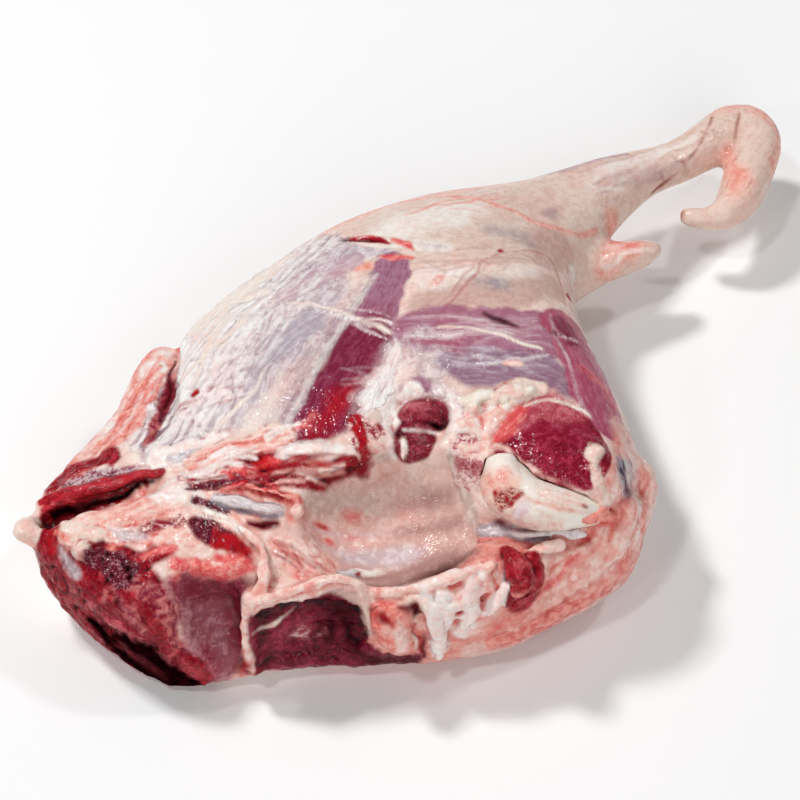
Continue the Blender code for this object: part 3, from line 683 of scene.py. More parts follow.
# The strands of meat, fat and blood between the cavity and the thigh.
STRANDS = [
    band("red_flesh", (-116, -6, 90, 8), (-100, -24, 94, 9), (-84, -38, 95, 8), (-70, -46, 94, 5),
         ragged=2),
    tube("white_fat", (-99, -14, 98, 3), (-90, -20, 100, 4.4), (-80, -31, 100, 4.4), (-72, -40, 98, 3),
         soft=2.5, ragged=1.5),
    tube("blood", (-106, -18, 93, 1.6), (-97, -27, 95, 1.8), (-86, -37, 95, 1.8), (-74, -43, 96, 1.6),
         soft=1.5),
    band("shadow_purple", (-102, -26, 92, 1.4), (-90, -36, 93, 1.8), (-78, -44, 93, 1.4), soft=2,
         lift=-1.2),
    # A thin strand in the colour of the lining's painted highlight.
    tube("lining_highlight", (-100, -22, 94, 1.2), (-90, -33, 94, 1.6), (-80, -40, 94, 1.2), soft=1),
    *threads("pink_fat", *CAVITY_EDGE, count=12, width=1.1, seed=51, lift=0.9, soft=1.6),
    band("coral", (-120, 2, 87, 2), (-115, -3, 88, 3), (-113, -9, 89, 3.4), (-112, -17, 90, 3),
         (-112, -24, 89, 2), soft=2, ragged=1.5, lift=1.5),
    band("scarlet", (-114, -2, 90, 1.2), (-109, -8, 92, 2.6), (-106, -14, 95, 2.6), (-103, -19, 96, 1.6),
         soft=2, ragged=2),
    band("scarlet", (-128, -5, 88, 1.4), (-123, -8, 89, 2.2), (-119, -14, 91, 2.4), (-117, -22, 91, 1.6),
         soft=2, ragged=2),
    band("cut_dark", (-145, 14, 82, 1.2), (-138, 9, 84, 2.2), (-130, 2, 87, 2.4), (-124, -4, 88, 1.4),
         soft=2, ragged=1.5),
    *threads("white_fat", (-130, 16, 86, 5), (-117, 8, 89, 7), (-108, -4, 92, 6), count=14, width=0.9,
             seed=69, lift=0.9, soft=1.4),
    *lobules("scarlet", (-124, 2, 87, 5), (-110, -10, 92, 6), count=14, size=1.1, seed=70, lift=0.5,
             soft=1.6),
    *threads("blood", (-116, -6, 89, 8), (-98, -24, 93, 8), (-76, -40, 95, 6), count=10, width=0.9, seed=54,
             lift=0.5, soft=1.6, strength=0.9),
    *threads("red_flesh", *CAVITY_EDGE, count=8, width=0.9, seed=52, lift=-1.0, soft=1.6),
    band("marbled", (-58, -28, 104, 5), (-60, -38, 103, 6), (-66, -44, 100, 5), soft=2, ragged=3),
    *threads("blood", (-56, -24, 104, 4), (-61, -36, 103, 5), (-68, -44, 100, 4), count=7, width=1.2,
             seed=53, soft=1.5),
    band("pink_fat", (-62, -46, 101, 4), (-54, -58, 100, 5), (-48, -70, 98, 4), soft=2, ragged=1.5),
]

# The fat and the red folds of the flank.
FLANK = [
    band("salmon_fat", (-70, 116, 56, 9), (-96, 104, 62, 12), (-124, 88, 66, 13), (-156, 80, 66, 13),
         (-190, 74, 62, 10), soft=4, ragged=2),
    band("pink_fat", (-78, 112, 58, 7), (-104, 98, 66, 9), (-130, 86, 68, 9), (-158, 78, 66, 9), soft=7,
         ragged=2),
    band("white_fat", (-80, 110, 60, 7), (-96, 101, 65, 8), (-112, 92, 67, 8), (-140, 86, 66, 6), soft=8,
         ragged=3),
    *lobules("pink_fat", (-84, 108, 60, 8), (-112, 92, 66, 10), (-150, 80, 66, 9), count=16, size=3.4,
             seed=65, lift=1.2),
    band("rose_fold", (-86, 98, 62, 2), (-102, 82, 67, 3.4), (-120, 67, 72, 3.8), (-136, 56, 77, 3.4),
         ragged=1.5),
    # Painted shade in the gap between the flank roll and the thigh.
    band("crevice_shade", (-80, 104, 60, 1), (-87, 98, 62, 1.2), (-100, 84, 67, 1.4), (-112, 73, 70, 1), soft=2,
         ragged=0.8, lift=-1.5),
    *threads("salmon_fat", (-84, 108, 62, 6), (-118, 88, 68, 10), (-160, 74, 68, 8), count=10, width=1.4,
             seed=61, lift=0.8, soft=1.8),
    *threads("salmon_fat", (-96, 98, 64, 6), (-128, 82, 68, 8), (-164, 72, 67, 7), count=7, width=0.9,
             seed=62, lift=-1.0, soft=2.4, strength=0.8),
    band("white_fat", (-140, 42, 81, 8), (-128, 32, 84, 8), (-112, 24, 88, 6), ragged=2, lift=0.8),
    band("blue_white", (-136, 34, 83, 3), (-124, 24, 86, 4), (-114, 16, 89, 3)),
    band("cream_fat", (-128, 20, 84, 7), (-110, 8, 90, 8), (-92, -4, 96, 7), ragged=4, lift=1.0),
    *threads("pink_fat", (-134, 26, 83, 8), (-112, 8, 89, 9), (-90, -8, 96, 7), count=18, width=1.6,
             seed=63, lift=1.2, soft=1.5),
    *threads("salmon_fat", (-134, 24, 83, 8), (-112, 6, 89, 9), (-90, -10, 96, 7), count=12, width=0.9,
             seed=64, lift=-1.2, soft=1.8, strength=0.9),
    blob("blood", (-100, 58, 86), (3, 2, 2), soft=1.5, ragged=1),
    blob("coral", (-80, -8, 99), (4, 3, 3), ragged=2),
    band("white_fat", (-96, 0, 96, 2), (-86, -2, 99, 2.5), (-80, -6, 100, 1.6), lift=1, soft=1.5,
         ragged=1.5),
]

# The chump end, from its ragged flesh to the lip towards the flank.
CHUMP = [
    # The ragged end, with the broad fat on top and the black-red part below, partly painted shade, and
    # painted shade in its holes and gaps.
    band("ragged_flesh", (-214, 42, 60, 15), (-214, 12, 58, 24), (-206, -18, 50, 24), soft=4, ragged=3),
    band("ragged_flesh", (-216, 40, 44, 16), (-216, 8, 28, 22), (-204, -32, 18, 22), (-190, -56, 10, 10),
         soft=6, ragged=3),
    band("pink_fat", (-196, 40, 74, 12), (-176, 18, 79, 18), (-150, -4, 82, 18), (-136, -24, 83, 12),
         soft=4, ragged=3),
    *lobules("rose_flesh", (-217, 34, 54, 10), (-217, 8, 50, 14), (-211, -14, 44, 12), count=24, size=2.0,
             seed=71, lift=1.2, soft=2, strength=0.8),
    *lobules("crevice_shade", (-218, 34, 50, 10), (-217, 6, 44, 14), (-212, -16, 44, 12), count=22, size=1.4,
             seed=72, lift=-1.6, soft=2),
    band("red_flesh", (-206, -10, 66, 8), (-208, -22, 56, 10), (-205, -34, 42, 8), ragged=2),
    band("rose_flesh", (-218, 10, 54, 1.6), (-216, -6, 48, 2.6), (-209, -24, 46, 2.6), (-204, -37, 38, 2.4),
         (-197, -46, 24, 2), ragged=1.5, lift=1.6, strength=0.8),
    band("rose_fold", (-209, -1, 68, 2), (-210, -12, 66, 3), (-209, -21, 60, 3), (-208, -27, 52, 2),
         ragged=2, lift=1.6, strength=0.8),
    *lobules("rose_fold", (-210, -2, 62, 6), (-210, -18, 58, 8), (-207, -30, 46, 6), count=16, size=2.2,
             seed=109, lift=1.2, soft=2.4, strength=0.8),
    band("black_flesh_and_shade", (-218, 8, 36, 3), (-216, -4, 29, 7), (-213, -18, 26, 10), (-208, -31, 22, 11),
         (-202, -41, 16, 9), (-197, -46, 10, 5), soft=4, ragged=2.5, lift=-1.5),
    *threads("crevice_shade", (-217, 0, 34, 6), (-212, -20, 25, 9), (-201, -42, 14, 7), count=3, width=0.7,
             seed=73, lift=0.6, soft=1.5, strength=0.6),
    blob("crevice_shade", (-211, -8, 62), (4, 3, 5), soft=2.5, ragged=1, lift=-4),
    band("crevice_shade", (-205, -22, 62, 1), (-205, -30, 52, 1.6), (-204, -36, 42, 1.2), soft=2, lift=-2.5),
    # The glossy red edge towards the flank, with painted shade in the gap below it.
    band("glossy_red", (-211, 62, 64, 3), (-201, 62, 61, 5), (-194, 59, 62, 5), (-182, 51, 66, 5),
         (-168, 43, 70, 4), (-156, 35, 74, 3), soft=2.5, ragged=1),
    band("black_flesh_and_shade", (-205, 59, 62, 1.2), (-195, 57, 62, 2.2), (-182, 49, 67, 2.2), (-168, 41, 71, 1.8),
         (-158, 36, 74, 1), soft=4, ragged=1),
    *threads("blood", (-206, 60, 62, 4), (-186, 52, 66, 5), (-160, 38, 73, 3), count=7, width=0.9, seed=68,
             soft=2, lift=0.6, strength=0.8),
    band("black_flesh_and_shade", (-203, 63, 62, 1.6), (-191, 57, 64, 2.4), (-177, 48, 67, 2.4), (-162, 40, 71, 2),
         (-151, 33, 76, 1), ragged=0.6),
    # The fat of the top.
    band("pink_fat", (-204, 53, 68, 3), (-194, 48, 71, 4), (-184, 42, 73, 4.6), (-172, 37, 74, 4.6),
         (-160, 33, 75, 3.6), soft=2, ragged=1),
    band("cream_fat", (-199, 42, 74, 5), (-186, 33, 78, 8), (-172, 24, 80, 9), (-154, 14, 82, 8), soft=2.5,
         ragged=2.5, lift=0.8),
    *threads("pink_fat", (-198, 38, 75, 6), (-178, 26, 79, 10), (-152, 10, 82, 9), count=12, width=1.3,
             seed=74, lift=0.9, soft=2),
    *threads("salmon_fat", (-198, 36, 75, 7), (-178, 24, 79, 11), (-152, 8, 82, 10), count=8, width=0.8,
             seed=75, lift=-0.8, soft=2, strength=0.8),
    *lobules("salmon_fat", (-190, 14, 79, 8), (-166, 0, 80, 12), count=14, size=1.8, seed=76, lift=0.8,
             soft=2),
    band("white_fat", (-158, 24, 81, 4), (-150, 16, 82, 7), (-144, 6, 83, 4), soft=4, ragged=2.5, lift=1.0),
    band("cream_fat", (-205, 42, 72, 4), (-202, 34, 76, 4), (-197, 27, 77, 3.6), (-193, 22, 77, 2.6),
         soft=2, ragged=1.5, lift=1.6),
    band("salmon_fat", (-208, 46, 69, 2), (-207, 38, 72, 2), soft=2, ragged=1, lift=1.0),
    band("blue_white", (-187, 22, 77, 2), (-184, 13, 79, 3.6), (-180, 5, 79, 3), soft=5, ragged=2, lift=0.9,
         strength=0.85),
    band("white_fat", (-189, 25, 78, 0.8), (-182, 17, 80, 1.4), (-175, 10, 81, 1), soft=2, ragged=0.6,
         lift=1.2),
    band("marbled", (-175, 8, 80, 3), (-168, 3, 80, 4), (-160, 0, 80, 3.4), ragged=2),
    knob("cream_fat", (-206, 25, 73), (5, 6, 5), soft=1.5),
    band("blue_white", (-212, 37, 68, 1.4), (-214, 29, 66, 2.4), (-215, 19, 64, 1.4), soft=4, ragged=1.6,
         strength=0.8),
    # The gap under the lip with its painted shade, and the cut meat with painted shade in its pits.
    band("crevice_shade", (-201, 21, 75, 2.6), (-196, 18, 76, 2), soft=2.5, lift=-2.5),
    band("cut_dark", (-206, 17, 73, 4), (-202, 9, 75, 7), (-201, -1, 74, 7), (-202, -8, 71, 5), ragged=2.5,
         lift=-0.6),
    *lobules("black_flesh_and_shade", (-206, 10, 73, 8), (-201, -4, 74, 7), count=10, size=1.2, seed=78, lift=-1.2,
             soft=1.6),
    band("red_flesh", (-191, 1, 77, 4), (-184, -7, 77, 5), (-176, -12, 77, 4), ragged=2),
    band("coral", (-187, -2, 78, 2), (-180, -7, 78, 2.8), (-172, -12, 78, 2.4), soft=2.5, ragged=1.5,
         lift=0.8),
    band("cut_dark", (-155, -6, 81, 4), (-152, -17, 80, 6), (-149, -26, 79, 5), soft=2.5, ragged=2),
    *lobules("blood", (-152, -22, 79, 5), (-147, -38, 77, 6), count=14, size=1.8, seed=79, lift=0.8,
             soft=1.8),
    band("cut_dark", (-147, 5, 82, 3), (-143, -5, 83, 3.4), (-140, -14, 84, 3), soft=2, ragged=1.2,
         lift=-0.6),
    band("blood", (-151, -25, 79, 3), (-148, -34, 77, 4), (-147, -41, 77, 3), ragged=1.5),
    # The hollow, with painted shade down its right side and in the crevice along it.
    band("hollow_film", (-186, -28, 66, 10), (-176, -38, 58, 14), (-180, -46, 42, 13), (-180, -54, 24, 10),
         soft=4),
    band("rose_fold", (-184, -24, 71, 2), (-188, -30, 63, 3), (-195, -37, 54, 3), (-199, -43, 44, 3),
         (-194, -48, 30, 3), soft=8, strength=0.7),
    band("raspberry", (-182, -26, 69, 2), (-174, -32, 68, 4), (-166, -38, 67, 5), soft=10, strength=0.7),
    band("hollow_red_and_shade", (-176, -32, 66, 5), (-165, -38, 66, 9), (-161, -46, 62, 11), (-164, -54, 52, 10),
         (-168, -58, 42, 7), soft=11),
    band("crimson_cut", (-160, -47, 66, 3), (-161, -54, 58, 4), (-167, -58, 48, 3), soft=7, strength=0.8),
    blob("red_flesh", (-171, -64, 20), (7, 6, 8), soft=6, strength=0.9),
    band("shadow_purple", (-160, -44, 70, 2), (-160, -52, 62, 3), (-166, -57, 50, 2.4), soft=8,
         strength=0.8),
    band("raspberry", (-186, -48, 34, 4), (-184, -54, 22, 5), soft=7, strength=0.7),
    band("crevice_shade", (-147, -48, 70, 1), (-155, -56, 66, 1.8), (-164, -57, 56, 1.8), (-168, -58, 42, 1.2),
         lift=-3),
    band("coral", (-182, -18, 76, 2), (-175, -22, 78, 4), (-167, -31, 79, 5.4), (-158, -38, 78, 5.4),
         (-149, -43, 76, 4), soft=4, ragged=2.5, lift=2.4),
    *lobules("coral", (-176, -22, 78, 6), (-164, -34, 79, 7), (-152, -42, 77, 6), count=18, size=3.0,
             seed=86, lift=1.4, soft=2.4),
    *lobules("pink_fat", (-174, -22, 79, 5), (-162, -34, 80, 5), (-154, -40, 79, 4), count=10, size=1.8,
             seed=87, lift=0.8, soft=2),
    # The folds and the fat round the hollow.
    band("rose_fold", (-201, -12, 71, 2), (-196, -20, 72, 3), (-194, -28, 67, 3.4), (-197, -34, 60, 3.4),
         (-200, -39, 50, 3), (-201, -43, 42, 2), soft=3.5, ragged=2.5, lift=2.4),
    *lobules("rose_fold", (-200, -14, 72, 5), (-196, -26, 68, 6), (-200, -38, 52, 5), count=16, size=2.0,
             seed=88, lift=1.2, soft=2.4),
    band("red_flesh", (-200, -43, 38, 3), (-195, -49, 27, 4), (-188, -56, 15, 4), ragged=1.5, lift=1.2),
    band("coral", (-182, -60, 16, 2), (-174, -64, 12, 3), soft=5, ragged=1, strength=0.8),
    tube("pink_fat", (-141, -29, 83, 2), (-140, -39, 83, 2.8), (-144, -48, 78, 3.6), (-152, -57, 73, 4.4),
         (-159, -60, 69, 4.6), ragged=1.6),
    band("pink_fat", (-156, -59, 70, 4), (-166, -59, 60, 4), (-170, -60, 50, 3), (-171, -64, 38, 3.6),
         (-172, -66, 27, 4), ragged=1.6, lift=2.4),
    *lobules("salmon_fat", (-142, -38, 83, 3), (-156, -60, 70, 4), (-168, -60, 52, 4), count=12, size=1.6,
             seed=89, lift=0.9, strength=0.5),
    band("blood", (-171, -63, 38, 1.4), (-172, -64, 28, 3), (-171, -65, 18, 3), ragged=1.5),
    # Gristle, strands and fat towards the cavity.
    band("gristle", (-151, 3, 83, 0.9), (-145, -9, 84, 1.4), (-142, -20, 84, 1.4), (-142, -32, 83, 1),
         lift=1.4, soft=1.2, ragged=0.4),
    *threads("gristle", (-152, 6, 81, 3), (-146, -8, 84, 4), (-141, -20, 84, 4), (-140, -32, 83, 3),
             count=7, width=0.8, seed=81, lift=0.8, soft=1.2),
    tube("lilac_gristle", (-139, -3, 84, 2), (-134, -14, 86, 3.6), (-127, -24, 87, 4.2), (-121, -31, 87, 3),
         (-118, -35, 87, 1.8), soft=1.8, ragged=0.8),
    # Painted shade in the gap beside the gristle.
    band("crevice_shade", (-134, -27, 82, 1.6), (-129, -32, 82, 2.6), (-123, -37, 83, 1.8), lift=-3),
    tube("salmon_fat", (-132, -3, 86, 1.4), (-122, -14, 89, 1.8), (-115, -27, 91, 1.8), (-109, -38, 89, 2),
         soft=2, ragged=1),
    knob("pink_fat", (-113, -43, 86), (5, 4, 4), soft=2, ragged=1),
    *threads("pink_fat", (-134, 6, 84, 4), (-124, -6, 88, 5), (-112, -22, 91, 5), count=9, width=1.2,
             seed=82, lift=0.9, soft=1.6),
    band("marbled", (-142, 20, 82, 5), (-133, 8, 84, 6), (-122, -2, 88, 5), ragged=2.5),
    *lobules("blood", (-138, 17, 83, 5), (-124, 6, 87, 6), (-110, -10, 91, 6), count=20, size=1.6, seed=83,
             lift=0.5, soft=1.8),
    *threads("white_fat", (-142, 22, 82, 6), (-126, 8, 87, 8), (-108, -10, 92, 8), count=14, width=1.0,
             seed=85, lift=1.2, soft=1.8, strength=0.9),
    *threads("red_flesh", (-142, 16, 82, 6), (-128, 0, 86, 7), (-114, -16, 91, 6), count=8, width=0.9,
             seed=84, lift=-1.2, soft=1.8),
    band("pink_fat", (-134, -42, 82, 5), (-130, -52, 77, 7), (-128, -62, 75, 7), (-129, -73, 76, 4), soft=4,
         ragged=2),
    *threads("blood", (-134, -42, 82, 5), (-130, -52, 77, 7), (-128, -68, 75, 6), count=8, width=0.7,
             seed=90, soft=1.8, strength=0.7),
    # The red meat and the glossy lip, and the fat and blood at the corner.
    band("red_flesh", (-188, 78, 64, 4), (-174, 76, 67, 6), (-156, 66, 73, 6), ragged=2),
    # White grains on the cut meat, partly painted glints.
    band("cut_grains_and_glints", (-184, 70, 69, 3), (-172, 61, 73, 5), (-160, 52, 76, 5), (-149, 43, 79, 3), soft=4,
         ragged=2.5),
    tube("glossy_red", (-201, 73, 62, 2.2), (-192, 66, 67, 3.6), (-180, 57, 72, 4), (-168, 48, 75, 3.8),
         (-156, 41, 77, 3), (-146, 33, 80, 1.6), soft=1.5, ragged=0.6),
    blob("cream_fat", (-217, 62, 62), (10, 9, 9), soft=2),
    blob("pink_skin", (-219, 56, 58), (5, 4, 4), soft=4, strength=0.7),
    band("blood", (-203, 62, 63, 2), (-209, 51, 66, 2), (-214, 41, 64, 2), soft=2, ragged=1.5),
    blob("pink_fat", (-204, 72, 63), (3, 3, 3), soft=1.5, ragged=1, lift=0.6),
]

# The side of the rump, its window of dark meat, and the fat that hangs over it.
RUMP = [
    # The outer fat and the creases in it.
    band("rump_pale", (52, -118, 84, 8), (52, -140, 70, 10), (40, -154, 56, 8), soft=8, ragged=2),
    band("rump_pale", (-77, -137, 18, 5), (-62, -145, 20, 7), (-41, -154, 25, 8), (-17, -161, 29, 8),
         (5, -166, 39, 7), (21, -163, 54, 5), soft=5, ragged=2),
    band("pink_fat", (39, -138, 80, 4), (14, -149, 86, 5), (-4, -150, 82, 6), (-18, -147, 73, 6),
         (-31, -146, 69, 5), soft=5, ragged=2, lift=2.5),
    band("rump_fat", (47, -141, 67, 5), (28, -155, 70, 6), (11, -162, 61, 7), (-6, -163, 54, 6),
         (-24, -158, 48, 5), (-42, -151, 42, 4), soft=4, ragged=1.5, lift=2.5),
    band("salmon_fat", (18, -165, 45, 4), (-6, -164, 38, 5), (-26, -158, 32, 5), (-47, -152, 28, 5),
         (-65, -144, 24, 4), soft=5, ragged=1.5, lift=1.6),
    *threads("salmon_fat", *RUMP_SIDE, count=10, width=1.8, seed=91, lift=0.9),
    *threads("pink_fat", *RUMP_SIDE, count=12, width=1.6, seed=92, lift=1.2, soft=2.5),
    band("coral", (8, -150, 74, 0.7), (-7, -153, 67, 1.2), (-22, -152, 60, 1.4), (-38, -151, 53, 1.4),
         (-51, -148, 45, 1.2), (-66, -142, 35, 0.8), lift=-2.4, strength=0.8),
    band("salmon_fat", (31, -140, 84, 0.7), (22, -149, 76, 1.0), (8, -157, 66, 1.1), (-4, -162, 48, 0.7),
         lift=-1.6),
    band("coral", (-20, -158, 44, 0.6), (-40, -151, 38, 1.0), (-67, -141, 29, 0.6), lift=-1.6, soft=2.6,
         strength=0.6),
    band("cream_fat", (-98, -116, 60, 8), (-82, -126, 58, 12), (-66, -132, 58, 11), soft=5, ragged=2),
    # The window of dark meat under the rim, with painted shade under the rim and along its lower edge.
    band("window_meat", (-160, -66, 38, 11), (-146, -72, 40, 15), (-131, -82, 40, 16), (-123, -92, 42, 11),
         soft=1.5, ragged=1.2, lift=-1.5),
    band("window_meat", (-166, -68, 27, 6), (-148, -77, 22, 8), (-128, -91, 23, 8), soft=2, ragged=1.2),
    blob("black_flesh_and_shade", (-127, -88, 42), (11, 8, 20), -38, soft=14, strength=0.8),
    *threads("raspberry", (-158, -67, 40, 9), (-142, -75, 42, 13), (-126, -90, 40, 10), count=10, width=1.4,
             seed=93, soft=4, strength=0.5),
    band("window_meat", (-164, -68, 24, 4), (-142, -81, 17, 5), (-126, -97, 19, 7), (-112, -108, 18, 6),
         (-99, -118, 17, 4), soft=2, ragged=1.2),
    band("black_flesh_and_shade", (-124, -96, 26, 3), (-112, -108, 16, 3), (-99, -119, 16, 2.4), soft=8,
         strength=0.6),
    *lobules("raspberry", (-158, -68, 36, 8), (-140, -78, 34, 12), (-128, -88, 30, 9), count=26, size=1.4,
             seed=110, soft=2.5, lift=0.6, strength=0.5),
    *threads("marbled_pink", (-150, -70, 30, 4), (-136, -78, 38, 5), (-129, -83, 36, 3), count=5, width=0.6,
             seed=113, soft=1.4, lift=0.5, strength=0.6),
    band("cream_fat", (-165, -65, 50, 0.8), (-158, -64, 47, 1.0), (-151, -67, 48, 0.9),
         (-144, -70, 53, 1.1), (-136, -75, 59, 0.8), soft=1, lift=0.6),
    band("raspberry", (-170, -67, 20, 1.4), (-155, -74, 13, 2), (-142, -83, 12, 2), soft=5, ragged=2,
         strength=0.7),
    # The rim round the window.
    tube("pink_fat", (-159, -64, 70, 2), (-147, -68, 71, 2.8), (-132, -76, 74, 3), (-120, -84, 75, 3),
         (-110, -96, 67, 3), (-98, -106, 66, 3), soft=2, ragged=1),
    *lobules("salmon_fat", (-150, -68, 72, 4), (-124, -82, 75, 4), (-100, -104, 67, 4), count=14, size=1.6,
             seed=99, lift=0.9, strength=0.5),
    band("cream_fat", (-114, -93, 68, 2.4), (-116, -98, 58, 3), (-119, -102, 44, 3.4), (-123, -104, 32, 3),
         ragged=1.2, lift=2),
    # The knob and the folds of fat that hang over the side.
    band("pink_fat", (-114, -108, 58, 7), (-110, -114, 50, 10), (-106, -117, 40, 9), soft=4, ragged=2.5,
         lift=1.5),
    tube("salmon_fat", (-113, -107, 60, 5), (-111, -112, 50, 8), (-106, -117, 42, 8), (-103, -118, 36, 6),
         ragged=1.5),
    *lobules("pink_fat", (-111, -111, 52, 7), (-105, -117, 40, 7), count=14, size=2.6, seed=96, lift=1.2,
             soft=2.6),
    *lobules("white_fat", (-110, -112, 46, 7), (-103, -118, 38, 6), count=9, size=2.2, seed=94, lift=1.0,
             soft=2.6, strength=0.8),
    *lobules("blood", (-115, -107, 61, 3), (-112, -112, 56, 3), count=7, size=1.4, seed=95, soft=2.5,
             strength=0.9),
    # Painted shade in the crevices beside the knob.
    blob("crevice_shade", (-114, -104, 64), (2.4, 1.8, 3), soft=1.8, lift=-2),
    band("crevice_shade", (-104, -112, 63, 1.2), (-99, -115, 61, 2.2), (-97, -117, 56, 1.6), soft=2.4, lift=-2.5),
    band("blood", (-97, -119, 56, 1.0), (-97, -121, 46, 1.4), (-98, -122, 34, 1.2), (-97, -122, 26, 1.2),
         soft=2.4, lift=-2.0),
    band("pink_fat", (-92, -124, 54, 7), (-83, -128, 55, 9), (-74, -133, 54, 9), (-67, -135, 57, 7), soft=4,
         ragged=2),
    band("white_fat", (-93, -115, 68, 4), (-82, -122, 70, 7), (-69, -128, 70, 7), (-60, -132, 70, 5),
         soft=4, ragged=2),
    tube("pink_fat", (-92, -120, 63, 4), (-80, -126, 63, 5), (-70, -130, 64, 5), (-61, -134, 65, 4),
         ragged=1.5),
    tube("pink_fat", (-92, -123, 53, 3), (-82, -128, 53, 4.4), (-73, -132, 52, 4.4), (-66, -135, 54, 3),
         ragged=1.5),
    tube("pink_fat", (-82, -122, 68, 4), (-76, -125, 67, 4.4), (-71, -128, 68, 4.4), (-64, -129, 70, 4),
         ragged=1),
    tube("white_fat", (-88, -116, 69, 3), (-91, -122, 62, 5), (-92, -125, 52, 5), (-91, -128, 38, 5),
         (-92, -129, 26, 3.6), ragged=1.5),
    tube("white_fat", (-83, -121, 70, 3), (-84, -127, 62, 4), (-86, -129, 52, 3.4), (-86, -129, 46, 2.4),
         ragged=1.5),
    tube("white_fat", (-70, -127, 71, 3), (-72, -132, 60, 5), (-76, -134, 48, 5.6), (-80, -134, 41, 3.4),
         ragged=1.5),
    tube("pink_fat", (-61, -131, 71, 3), (-61, -136, 61, 4), (-68, -137, 51, 3), ragged=1.5),
    *lobules("white_fat", (-92, -124, 60, 6), (-78, -130, 58, 8), (-66, -134, 58, 6), count=22, size=2.2,
             seed=100, lift=1.2, soft=2.6),
    band("coral", (-86, -124, 66, 0.8), (-88, -127, 56, 1.2), soft=2, lift=-1.4),
    band("coral", (-77, -128, 66, 1.2), (-79, -131, 56, 1.8), soft=2.5, lift=-1.6),
    band("salmon_fat", (-66, -132, 66, 1.6), (-68, -135, 57, 2), lift=-1.2),
    tube("pink_fat", (-98, -106, 67, 2), (-88, -115, 71, 3), (-76, -121, 74, 3.6), (-64, -125, 74, 3.4),
         (-57, -129, 75, 2.6), soft=2.5, ragged=1.4),
    *lobules("white_fat", (-90, -114, 71, 4), (-74, -122, 74, 5), (-58, -129, 75, 4), count=12, size=1.8,
             seed=108, lift=0.9, soft=2),
    # Painted shade down the crevice beside the hanging folds.
    band("crevice_shade", (-96, -118, 57, 1), (-96, -121, 45, 1.6), (-97, -123, 32, 1.6), (-96, -122, 21, 1.2),
         soft=2.4, lift=-2.5),
    # The red lump beside the bone.
    tube("red_flesh", (-46, -130, 78, 4), (-48, -138, 79, 7), (-50, -145, 74, 8), (-53, -145, 64, 6),
         (-59, -145, 57, 3), soft=2, ragged=1),
    tube("red_flesh", (-36, -141, 76, 4), (-40, -147, 69, 6.5), (-44, -148, 58, 5), (-53, -146, 51, 3),
         soft=2, ragged=1),
    *threads("rose_flesh", (-44, -134, 79, 5), (-46, -146, 72, 9), (-52, -148, 58, 6), count=8, width=1.4,
             seed=107, lift=0.9, soft=2),
    band("coral", (-47, -142, 80, 1.6), (-45, -148, 74, 2.4), (-47, -150, 66, 2), soft=4, strength=0.7),
    # Painted shade in the crevice of the red lump.
    band("crevice_shade", (-41, -144, 77, 0.7), (-44, -150, 68, 1.0), (-48, -149, 58, 0.7), soft=2.4, lift=-1.6),
    band("lilac_gristle", (-52, -134, 76, 0.8), (-56, -139, 68, 1.3), (-58, -142, 61, 0.8), soft=1.8,
         lift=0.8),
    tube("pink_fat", (-34, -138, 76, 2.4), (-27, -143, 76, 3.4), (-20, -147, 74, 2.6), soft=1.5),
    tube("white_fat", (-57, -141, 67, 2.4), (-62, -142, 60, 3), (-67, -141, 54, 2), soft=1.5),
    # The grey dent.
    blob("dent_grey", (34, -142, 82), (12, 8, 15), 30, soft=5, ragged=1.5, lift=-1.5),
    *threads("shadow_purple", (38, -136, 86, 4), (32, -144, 80, 5), (26, -148, 74, 3), count=5, width=0.9,
             seed=97, lift=-1.2, soft=1.6),
    *threads("white_fat", (46, -130, 84, 8), (40, -146, 72, 10), (30, -156, 58, 8), count=8, width=1.2,
             seed=98, lift=0.8, soft=2.4, strength=0.8),
]

